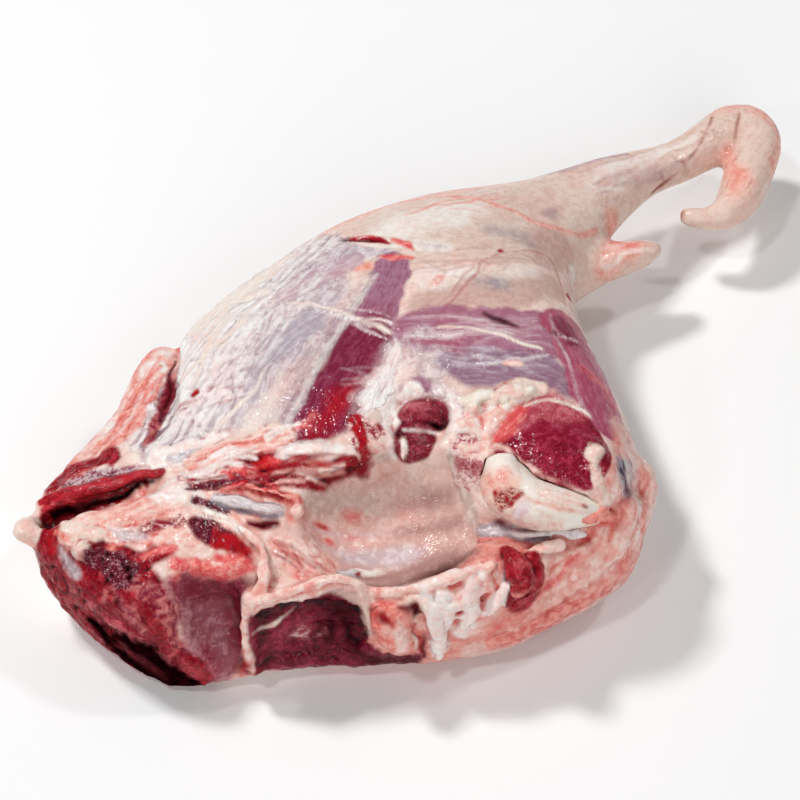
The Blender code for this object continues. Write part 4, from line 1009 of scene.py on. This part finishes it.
# The cut muscle, fat and gristle round the aitch bone.
BONE_SIDE = [
    band("marbled_pink", (-26, -78, 102, 6), (-20, -88, 103, 9), (-32, -90, 96, 7), soft=5, ragged=3),
    *threads("pink_fat", (-30, -78, 101, 6), (-20, -86, 103, 8), (-16, -96, 104, 6), count=8, width=1.3,
             seed=101, lift=1.0, soft=1.4),
    *lobules("raspberry", (-32, -84, 98, 7), (-22, -92, 101, 7), count=12, size=1.4, seed=102, soft=2.4,
             strength=0.7),
    blob("crimson_cut", (8, -110, 104), (28, 36, 20), 20, soft=1.2, ragged=0.6),
    band("raspberry", (2, -92, 105, 9), (16, -96, 106, 12), (26, -106, 103, 10), (24, -116, 101, 6),
         soft=10, ragged=2),
    band("rose_cut", (2, -86, 106, 5), (14, -86, 107, 7), (25, -95, 105, 6), (32, -106, 103, 3), soft=9,
         ragged=2),
    # Darker towards the oval's lower edge.
    band("black_flesh_and_shade", (6, -112, 102, 2), (14, -122, 100, 3), (24, -128, 97, 2), soft=6, strength=0.5),
    *lobules("raspberry", (4, -104, 104, 10), (10, -118, 101, 10), count=16, size=1.8, seed=103, lift=0.4,
             soft=2, strength=0.7),
    band("coral", (-12, -86, 104, 4), (-2, -84, 106, 5.5), (8, -83, 107, 4), (16, -82, 107, 2), soft=5,
         ragged=1.5),
    band("pink_fat", (-22, -90, 103, 3), (-12, -80, 105, 3), (4, -76, 107, 3), (18, -78, 107, 2.4),
         ragged=1.5, lift=0.8),
    band("gristle", (14, -82, 107, 0.8), (27, -90, 106, 0.9), (37, -104, 102, 1.0), (38, -122, 100, 0.9),
         (30, -138, 96, 0.8), lift=1.2, soft=1.2),
    band("pink_fat", (-25, -89, 100, 1.2), (-15, -90, 102, 1.4), (-11, -95, 101, 1.4),
         (-12, -103, 102, 1.2), (-9, -121, 98, 1.4), (0, -138, 94, 1.6), (5, -146, 88, 1.6), soft=2,
         ragged=0.6, strength=0.9),
    *lobules("cream_fat", (20, -128, 103, 4), (14, -138, 98, 3), count=9, size=1.8, seed=114, lift=1.2,
             soft=2),
    tube("yellow_fat", (-6, -61, 108, 3.5), (2, -64, 109, 4.5), soft=1),
    knob("yellow_fat", (-8, -67, 108), (4, 3.5, 3), soft=1),
    tube("cream_fat", (4, -70, 109, 4), (12, -71, 109, 5.4), (20, -75, 108, 5), (27, -82, 106, 3),
         soft=1.5),
    *lobules("yellow_fat", (4, -70, 110, 4), (24, -78, 109, 5), count=7, size=2.2, seed=105, lift=1.0,
             soft=1.8),
    band("white_fat", (-24, -66, 104, 4), (-14, -72, 105, 5), soft=2.5, ragged=2, lift=0.6),
    *lobules("pink_fat", (-22, -68, 104, 6), (-10, -74, 106, 6), count=10, size=1.8, seed=106, lift=1.0,
             soft=1.6),
    knob("cream_fat", (20, -128, 101), (6, 4.5, 5), soft=1),
    tube("cream_fat", (13, -139, 97, 3.6), (12, -143, 92, 4), (10, -148, 86, 4), soft=1),
    tube("lilac_gristle", (-42, -111, 71, 3), (-30, -124, 75, 3.4), (-19, -140, 78, 3), (-8, -152, 77, 2),
         soft=1.5),
    # Painted shade beside the gristle.
    band("crevice_shade", (-42, -106, 78, 1.6), (-32, -120, 79, 2), (-20, -136, 81, 2), (-8, -148, 79, 1.4),
         soft=2, lift=-1.5),
    band("red_flesh", (-20, -136, 80, 2), (-10, -145, 79, 3), (0, -152, 76, 2.6), soft=2, ragged=1),
    tube("salmon_fat", (-6, -148, 86, 2.6), (4, -152, 82, 3.4), (12, -154, 78, 3), soft=1.5),
]

# The aitch bone's own colours.
BONE_PAINT = [
    band("bone_pink", (-36, -100, 100, 7), (-30, -112, 104, 8), soft=8, ragged=3),
    blob("coral", (-29, -108, 106), (3, 2.4, 4), soft=4, ragged=1, strength=0.8),
    band("bone_pink", (-40, -112, 94, 4), (-32, -126, 90, 5), (-20, -140, 86, 4), soft=6, ragged=2,
         strength=0.7),
    band("marrow", (-38, -114, 99, 3), (-33, -119, 100, 5), (-28, -122, 101, 3), soft=2, ragged=2,
         lift=-0.8),
    *lobules("blood", (-38, -114, 98, 4), (-30, -122, 100, 5), count=12, size=0.9, seed=111, lift=-1.0,
             soft=1.2),
    blob("bone_lilac", (-31, -127, 95), (5, 4, 6), soft=6, strength=0.6),
    blob("blood", (-3, -145, 93), (2.6, 1.4, 3), -40, soft=1.4, lift=-1.2),
    blob("blood", (2, -146, 92), (1.4, 1.0, 2), soft=1.2, lift=-0.8),
    *threads("bone_pink", (-28, -124, 98, 6), (-14, -137, 96, 6), (0, -146, 90, 5), count=7, width=0.9,
             seed=112, soft=2, strength=0.6),
]

PAINT = SHANK + KNEE + THIGH + MIDDLE + CAVITY + FLANK + RUMP + CHUMP + STUMP + STRANDS + BONE_SIDE


# ---------------------------------------------------------------- the surface


def new_object(name, data):
    obj = bpy.data.objects.new(name, data)
    bpy.context.scene.collection.objects.link(obj)
    return obj


def apply_modifiers(obj):
    """Give the object the mesh that its modifiers make, and take them away."""
    bpy.context.view_layer.update()
    shown = obj.evaluated_get(bpy.context.evaluated_depsgraph_get())
    made = bpy.data.meshes.new_from_object(shown)
    obj.modifiers.clear()
    obj.data = made
    made.name = obj.name


def remeshed(name, bm, voxel, smoothing):
    """One closed, smooth skin over everything in the bmesh, as a new object."""
    mesh = bpy.data.meshes.new(name)
    bm.to_mesh(mesh)
    bm.free()
    obj = new_object(name, mesh)
    skin = obj.modifiers.new("skin", "REMESH")
    skin.mode = "VOXEL"
    skin.voxel_size = voxel * MM
    soften = obj.modifiers.new("soften", "SMOOTH")
    soften.iterations = smoothing
    apply_modifiers(obj)
    obj.data.materials.clear()
    return obj


def thin_below(obj):
    """Fewer triangles underneath, where the leg is plain and out of sight."""
    below = vertex_array(obj.data, "normal")[:, 2] < BELOW
    group = obj.vertex_groups.new(name="below")
    group.add(np.flatnonzero(below).tolist(), 1.0, "REPLACE")
    thin = obj.modifiers.new("thin", "DECIMATE")
    thin.ratio = 1 - THINNED * float(below.mean())
    thin.vertex_group = "below"
    apply_modifiers(obj)
    obj.vertex_groups.clear()


def vertex_array(mesh, what):
    values = np.empty(len(mesh.vertices) * 3)
    mesh.vertices.foreach_get(what, values)
    return values.reshape(-1, 3)


def edge_pairs(mesh):
    edges = np.empty(len(mesh.edges) * 2, np.int64)
    mesh.edges.foreach_get("vertices", edges)
    return edges.reshape(-1, 2)


def painted(points, base, strokes):
    """The tissue values, the lift and the grain of every point: a base tissue, then all the strokes."""
    values = np.tile(TISSUES[base].values, (len(points), 1))
    lift = np.zeros(len(points))
    grain = points * (GRAIN_STRETCH, 1, 1)
    points = points + drift(points)
    for number, stroke in enumerate(strokes):
        low, high = stroke.shape.reach(stroke.soft + 2 * stroke.ragged + REACH_MARGIN)
        near = np.flatnonzero(np.all((points > low) & (points < high), axis=1))
        if not len(near):
            continue
        distance, along, aside = stroke.shape.measure(points[near])
        if stroke.raised:
            distance = distance - RAISED_MARGIN
        if stroke.ragged:
            bays = noise(points[near], EDGE_SIZE + 2 * stroke.ragged, number, 3)
            distance = distance + stroke.ragged * bays
        cover = smoothstep(0.5 - distance / stroke.soft) * stroke.strength
        values[near] += cover[:, None] * (stroke.tissue - values[near])
        lift[near] += stroke.lift * smoothstep(-distance / (stroke.soft + abs(stroke.lift)))
        inside = (cover > 0.5) & (stroke.shape.width() > THIN)
        height = points[near, 2] * 0.5 + GRAIN_SHIFT * number
        own = np.stack([along * GRAIN_STRETCH, aside, height], axis=1)
        grain[near[inside]] = own[inside]
    return values, lift, grain


def folded(points, size, seed):
    """Rounded lobes with sharp creases between them, from 0 in a crease to about 1."""
    wander = np.stack([noise(points, size * WANDER_SIZE, seed + k, 2) for k in (1, 2, 3)], axis=1)
    moved = points + wander * size * WANDER
    return np.sqrt(np.abs(noise(moved, size, seed, 2)) + CREASE_ROUNDING)


def relief(points, values, grain):
    """How far the tissue itself stands out or sinks in: lumps, grains and furrows."""
    lumps = folded(points, FOLD_SIZE, 5) * FOLD_DEPTH + folded(points, LOBE_SIZE, 25) + LUMP_LEVEL
    lumps += noise(points, KNOB_SIZE, 33, 2) * KNOB_DEPTH
    grains = noise(points, GRAIN_SIZE, 9, 2) * GRAIN_DEPTH
    furrows = FURROW_LEVEL - FURROW_DEPTH * np.abs(noise(grain, FURROW_SIZE, 13, 2))
    furrows -= WRINKLE_DEPTH * np.abs(noise(grain, WRINKLE_SIZE, 15, 2))
    return values[:, LUMPS] * lumps + values[:, GRAINS] * grains + values[:, FURROWS] * furrows


def evened(mesh, numbers, rounds):
    """The numbers at the vertices, each averaged with its neighbours for some rounds."""
    edges = edge_pairs(mesh)
    count = np.bincount(edges.ravel(), minlength=len(numbers)) + 1
    for _ in range(rounds):
        total = numbers + np.bincount(edges[:, 0], numbers[edges[:, 1]], len(numbers))
        total += np.bincount(edges[:, 1], numbers[edges[:, 0]], len(numbers))
        numbers = total / count
    return numbers


def hollowness(mesh, places, normals, rounds):
    """How far each vertex lies below its evened surroundings, in drawn millimetres."""
    evened_places = np.stack([evened(mesh, places[:, k], rounds) for k in range(3)], axis=1)
    return np.einsum("ij,ij->i", evened_places - places, normals) / MM


def unbroken(mesh, grain):
    """One where the grain runs on smoothly, and zero along the lines where it jumps."""
    edges = edge_pairs(mesh)
    jump = np.linalg.norm(grain[edges[:, 0]] - grain[edges[:, 1]], axis=1) > GRAIN_JUMP
    smooth = np.ones(len(grain))
    smooth[edges[jump].ravel()] = 0
    return smooth


def store(mesh, name, kind, values):
    """Keep numbers, vectors or colours at the vertices under a name, for the material."""
    attribute = mesh.attributes.new(name, kind, "POINT")
    field = {"FLOAT_COLOR": "color", "FLOAT_VECTOR": "vector", "FLOAT": "value"}[kind]
    attribute.data.foreach_set(field, np.ascontiguousarray(values, np.float32).ravel())


def paint(obj, base, strokes):
    """Move the surface out and in by the strokes and tissues, and store what the material reads."""
    mesh = obj.data
    mesh.shade_smooth()
    places, normals = vertex_array(mesh, "co"), vertex_array(mesh, "normal")
    points = drawn(places)
    values, lift, grain = painted(points, base, strokes)
    height = lift + relief(points, values, grain)
    above = smoothstep((points[:, 2] - FLAT_BOTTOM) / BOTTOM_BLEND)
    places += normals * (height * above * MM)[:, None]
    places = np.clip(places, np.array(CAD_BOX[0]), np.array(CAD_BOX[1]))
    mesh.vertices.foreach_set("co", places.ravel())
    mesh.update()
    normals = vertex_array(mesh, "normal")
    # How hollow each place is: with it the material paints shade into hollows and highlight onto crests.
    narrow = hollowness(mesh, places, normals, NEAR_ROUNDS)
    wide = hollowness(mesh, places, normals, WIDE_ROUNDS)
    values[:, STREAKS] *= unbroken(mesh, grain)
    ones = np.ones((len(places), 1))
    for name, columns in (("first_colour", FIRST), ("second_colour", SECOND), ("crease_tint_and_shade_colour", CREASE_TINT_AND_SHADE)):
        store(mesh, name, "FLOAT_COLOR", np.hstack([values[:, columns], ones]))
    store(mesh, "crease_shading", "FLOAT", np.clip(narrow + 0.5 * wide, MOST_CREST, None))
    store(mesh, "pattern", "FLOAT_VECTOR", values[:, [SHARE, STREAKS, CUT]])
    store(mesh, "texture", "FLOAT_VECTOR", values[:, [LUMPS, GRAINS, FURROWS]])
    store(mesh, "gloss", "FLOAT", values[:, GLOSS])
    store(mesh, "grain", "FLOAT_VECTOR", grain)


def dressed_leg():
    bm = bmesh.new()
    bm.from_mesh(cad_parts["leg"].data)
    for stroke in PAINT:
        if stroke.raised:
            stroke.shape.add_to(bm)
    leg = remeshed("dressed_leg", bm, LEG_VOXEL, LEG_SMOOTHING)
    thin_below(leg)
    paint(leg, "outer_fat", PAINT)
    return leg


def dressed_bone():
    bm = bmesh.new()
    bm.from_mesh(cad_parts["aitch_bone"].data)
    bone = remeshed("dressed_bone", bm, BONE_VOXEL, BONE_SMOOTHING)
    paint(bone, "bone", BONE_PAINT)
    return bone


# ---------------------------------------------------------------- materials

# Texture scales, as features per metre, and across the grain per drawn millimetre.
BLUSHES, BLOTCHES, WAVES, BEADS, CELLS, SPECKS = 45, 230, 240, 520, 950, 1500
STREAKS_ACROSS, FIBRES_ACROSS = 0.55, 1.7
BUMP_DEPTH = 0.001

# How the colours mix.
CONTRAST = 2.2                      # of the pattern that parts the two colours
SPECKLE = 1.2                       # how far blotches break up the grains of a cut
EDGE_WIDTH = 0.22                   # of the edge between the two colours
CREASE_SHADE_SHIFT = -0.3                 # less of the second colour in a crease and more on a crest: painted shade and painted highlight where the second colour is the lighter one
SHADE_BREAK = 0.8                    # how far blotches break up the crease colour and its painted shade
SHADE_FROM, SHADE_TO = 0.15, 1.5      # where a crease takes on its colour: the tissue's own tint there and painted shade
FLUSH, MOST_FLUSH = (1.0, 0.84, 0.84, 1), 0.7
FLUSH_FROM, FLUSH_TO = 0.45, 0.7
TONE_SPREAD, DARKEST_TONE = 0.24, 0.88


class Nodes:
    """A material's node tree, built by short calls."""

    def __init__(self, name):
        self.material = bpy.data.materials.new(name)
        self.material.use_nodes = True
        self.tree = self.material.node_tree
        self.shader = self.tree.nodes["Principled BSDF"]

    def fill(self, node, inputs):
        """Link or set the inputs of a node."""
        for key, value in inputs.items():
            if isinstance(value, bpy.types.NodeSocket):
                self.tree.links.new(value, node.inputs[key])
            else:
                node.inputs[key].default_value = value

    def add(self, kind, inputs, **settings):
        """A new node with some settings and inputs."""
        node = self.tree.nodes.new("ShaderNode" + kind)
        for name, value in settings.items():
            setattr(node, name, value)
        self.fill(node, inputs)
        return node.outputs

    def attribute(self, name, output="Vector"):
        return self.add("Attribute", {}, attribute_name=name)[output]

    def parts(self, vector):
        return self.add("SeparateXYZ", {0: vector})

    def place(self):
        return self.add("TexCoord", {})["Object"]

    def noise(self, vector, scale, detail, roughness=0.55, distortion=0.0):
        inputs = {"Vector": vector, "Scale": scale, "Detail": detail, "Roughness": roughness,
                  "Distortion": distortion}
        return self.add("TexNoise", inputs)["Fac"]

    def cells(self, vector, scale):
        return self.add("TexVoronoi", {"Vector": vector, "Scale": scale})["Distance"]

    def math(self, operation, one, two=0.0, three=0.0):
        return self.add("Math", {0: one, 1: two, 2: three}, operation=operation)[0]

    def times(self, one, two):
        return self.math("MULTIPLY", one, two)

    def plus(self, one, two):
        return self.math("ADD", one, two)

    def scaled(self, value, factor, more):
        """value * factor + more"""
        return self.math("MULTIPLY_ADD", value, factor, more)

    def spread(self, value, factor, more):
        """How far the value is from a half, times factor, + more."""
        return self.scaled(self.math("SUBTRACT", value, 0.5), factor, more)

    def blend(self, factor, one, two):
        """A number between two numbers."""
        return self.add("Mix", {0: factor, 2: one, 3: two})[0]

    def mix(self, factor, one, two, blend_type="MIX"):
        """A colour between two colours, or other ways to mix them."""
        return self.add("Mix", {0: factor, 6: one, 7: two}, data_type="RGBA", blend_type=blend_type)[2]

    def step(self, value, low, high):
        inputs = {"Value": value, "From Min": low, "From Max": high}
        return self.add("MapRange", inputs, interpolation_type="SMOOTHSTEP")[0]

    def bump(self, height):
        return self.add("Bump", {"Height": height, "Distance": BUMP_DEPTH})[0]


class Flesh(Nodes):
    """The material of every tissue, which reads what the strokes stored on the mesh."""

    def __init__(self, name):
        super().__init__(name)
        place, grain = self.place(), self.attribute("grain")
        self.share, self.streaks, self.cut = self.parts(self.attribute("pattern"))
        self.lumps, self.grains, self.furrows = self.parts(self.attribute("texture"))
        self.gloss, self.crease_shading = self.attribute("gloss", "Fac"), self.attribute("crease_shading", "Fac")
        self.blotch = self.noise(place, BLOTCHES, 4, 0.6, 0.6)
        self.streak = self.noise(grain, STREAKS_ACROSS, 3, 0.65, 0.4)
        self.fibre = self.noise(grain, FIBRES_ACROSS, 2, 0.6, 0.2)
        self.along = self.blend(0.35, self.streak, self.fibre)
        self.cell = self.cells(place, CELLS)
        self.speck = self.noise(place, SPECKS, 3, 0.6)
        self.wave = self.noise(place, WAVES, 1, 0.5, 0.5)
        self.beads = self.noise(place, BEADS, 1, 0.5, 0.5)
        self.blush = self.noise(place, BLUSHES, 3, 0.65, 0.5)

    def colour(self):
        """Two colours mixed by grain, grains and blotches, and a third in the creases, partly painted
        shade.
        """
        pattern = self.spread(self.blend(self.streaks, self.blotch, self.along), CONTRAST, 0.5)
        # Painted highlight on crests and painted shade in creases.
        pattern = self.scaled(self.crease_shading, CREASE_SHADE_SHIFT, pattern)
        pattern = self.blend(self.cut, pattern, self.spread(self.blotch, SPECKLE, self.cell))
        edge = self.math("SUBTRACT", 1.0, self.share)
        second = self.step(pattern, self.math("SUBTRACT", edge, EDGE_WIDTH), self.plus(edge, EDGE_WIDTH))
        first_colour = self.attribute("first_colour", "Color")
        colour = self.mix(second, first_colour, self.attribute("second_colour", "Color"))
        # Painted shade: the crease colour in the hollows.
        crease_tint_and_shade = self.step(self.spread(self.blotch, SHADE_BREAK, self.crease_shading), SHADE_FROM, SHADE_TO)
        colour = self.mix(crease_tint_and_shade, colour, self.attribute("crease_tint_and_shade_colour", "Color"))
        flushed = self.mix(1.0, colour, FLUSH, "MULTIPLY")
        flush = self.times(self.step(self.blush, FLUSH_FROM, FLUSH_TO), MOST_FLUSH)
        colour = self.mix(flush, colour, flushed)
        tone = self.scaled(self.speck, TONE_SPREAD, DARKEST_TONE)
        return self.add("VectorMath", {0: colour, "Scale": tone}, operation="SCALE")[0]

    def height(self):
        """The fine relief of the tissue: furrows, lumps, grains, specks and streaks."""
        height = self.times(self.times(self.times(self.furrows, self.along), self.streaks), 1.1)
        height = self.plus(height, self.times(self.times(self.lumps, self.blotch), 0.9))
        height = self.plus(height, self.times(self.times(self.grains, self.cell), -1.1))
        height = self.plus(height, self.times(self.speck, 0.2))
        return self.plus(height, self.times(self.times(self.along, self.streaks), 0.4))

    def film(self):
        """The smoother relief of the wet coat, wide enough for glints that are larger than specks."""
        rough = self.scaled(self.plus(self.furrows, self.plus(self.lumps, self.grains)), 0.4, 0.35)
        film = self.times(self.scaled(self.beads, 0.6, self.times(self.wave, 1.2)), rough)
        return self.scaled(self.times(self.furrows, self.streaks), self.times(self.streak, 0.6), film)


def tissue_material(name):
    """The colours and relief of the tissues, under a wet coat."""
    n = Flesh(name)
    n.fill(n.shader, {
        "Base Color": n.colour(),
        "Roughness": n.scaled(n.blotch, 0.12, n.scaled(n.gloss, -0.15, 0.5)),
        "Normal": n.bump(n.height()),
        "Coat Normal": n.bump(n.film()),
        "Coat Weight": n.gloss,
        "Subsurface Weight": 0.15,
        "Subsurface Scale": 0.003,
        "Subsurface Radius": (1.0, 0.4, 0.25),
        "Specular IOR Level": 0.0,
        "Coat Roughness": 0.1,
        "Coat IOR": 1.3,
        "IOR": 1.4,
    })
    return n.material


def floor_material():
    n = Nodes("floor")
    n.fill(n.shader, {
        "Base Color": n.mix(n.noise(n.place(), 3, 2), (0.93, 0.93, 0.93, 1), (0.95, 0.95, 0.95, 1)),
        "Roughness": 0.9,
        "Specular IOR Level": 0.1,
    })
    return n.material


# ---------------------------------------------------------------- camera, light and floor

CAMERA_TARGET = (0.0, 0.0, 50.0)
CAMERA_DISTANCE = 1270.0
CAMERA_AZIMUTH = -43.0
CAMERA_ELEVATION = 50.0
CAMERA_LENS, CAMERA_SENSOR = 100, 36

# Soft square lights: how far to the right, up and towards the camera, and their size and power.
LIGHTS = {
    "key": (-0.5, 0.8, 0.45, 0.4, 48),
    "fill": (0.15, -0.3, 1.0, 1.6, 26),
    "glint_left": (-0.35, 0.4, 0.9, 0.25, 12),
    "glint_right": (0.5, 0.7, 0.5, 0.25, 12),
    "glint_low": (-0.5, -0.1, 1.0, 0.25, 5),
}
LIGHT_DISTANCE = 3.0
SKY_STRENGTH = 0.15
FLOOR_REACH = 12.0
FLOOR_DROP = 0.0003


def view_axes():
    """Unit vectors to the right, up and towards the camera."""
    a, e = math.radians(CAMERA_AZIMUTH), math.radians(CAMERA_ELEVATION)
    back = Vector((math.sin(a) * math.cos(e), -math.cos(a) * math.cos(e), math.sin(e)))
    right = Vector((math.cos(a), math.sin(a), 0))
    return right, back.cross(right), back


def add_camera():
    back = view_axes()[2]
    camera = bpy.data.cameras.new("camera")
    camera.lens = CAMERA_LENS
    camera.sensor_width = CAMERA_SENSOR
    obj = new_object("camera", camera)
    obj.location = Vector(at(CAMERA_TARGET)) + back * CAMERA_DISTANCE * MM
    obj.rotation_euler = back.to_track_quat("Z", "Y").to_euler()
    bpy.context.scene.camera = obj


def add_lights():
    right, up, back = view_axes()
    for name, (rightward, upward, backward, size, power) in LIGHTS.items():
        light = bpy.data.lights.new(name, "AREA")
        light.shape = "SQUARE"
        light.size = size
        light.energy = power
        obj = new_object(name, light)
        direction = (right * rightward + up * upward + back * backward).normalized()
        obj.location = direction * LIGHT_DISTANCE
        obj.rotation_euler = direction.to_track_quat("Z", "Y").to_euler()
    world = bpy.data.worlds.new("world")
    world.use_nodes = True
    sky = world.node_tree.nodes["Background"]
    sky.inputs["Color"].default_value = (1.0, 1.0, 1.0, 1)
    sky.inputs["Strength"].default_value = SKY_STRENGTH
    bpy.context.scene.world = world
    bpy.context.scene.view_settings.view_transform = "Standard"


def add_floor():
    bm = bmesh.new()
    bmesh.ops.create_grid(bm, x_segments=2, y_segments=2, size=FLOOR_REACH)
    mesh = bpy.data.meshes.new("floor")
    bm.to_mesh(mesh)
    bm.free()
    floor = new_object("floor", mesh)
    floor.location.z = CAD_BOX[0].z - FLOOR_DROP
    mesh.materials.append(floor_material())


def main():
    leg = dressed_leg()
    leg.data.materials.append(tissue_material("flesh"))
    bone = dressed_bone()
    bone.data.materials.append(tissue_material("bone"))
    for piece, node, slot in ((leg, "leg", "meat"), (bone, "aitch_bone", "bone")):
        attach(piece, "root")
        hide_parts(node)
    add_camera()
    add_lights()
    add_floor()


main()
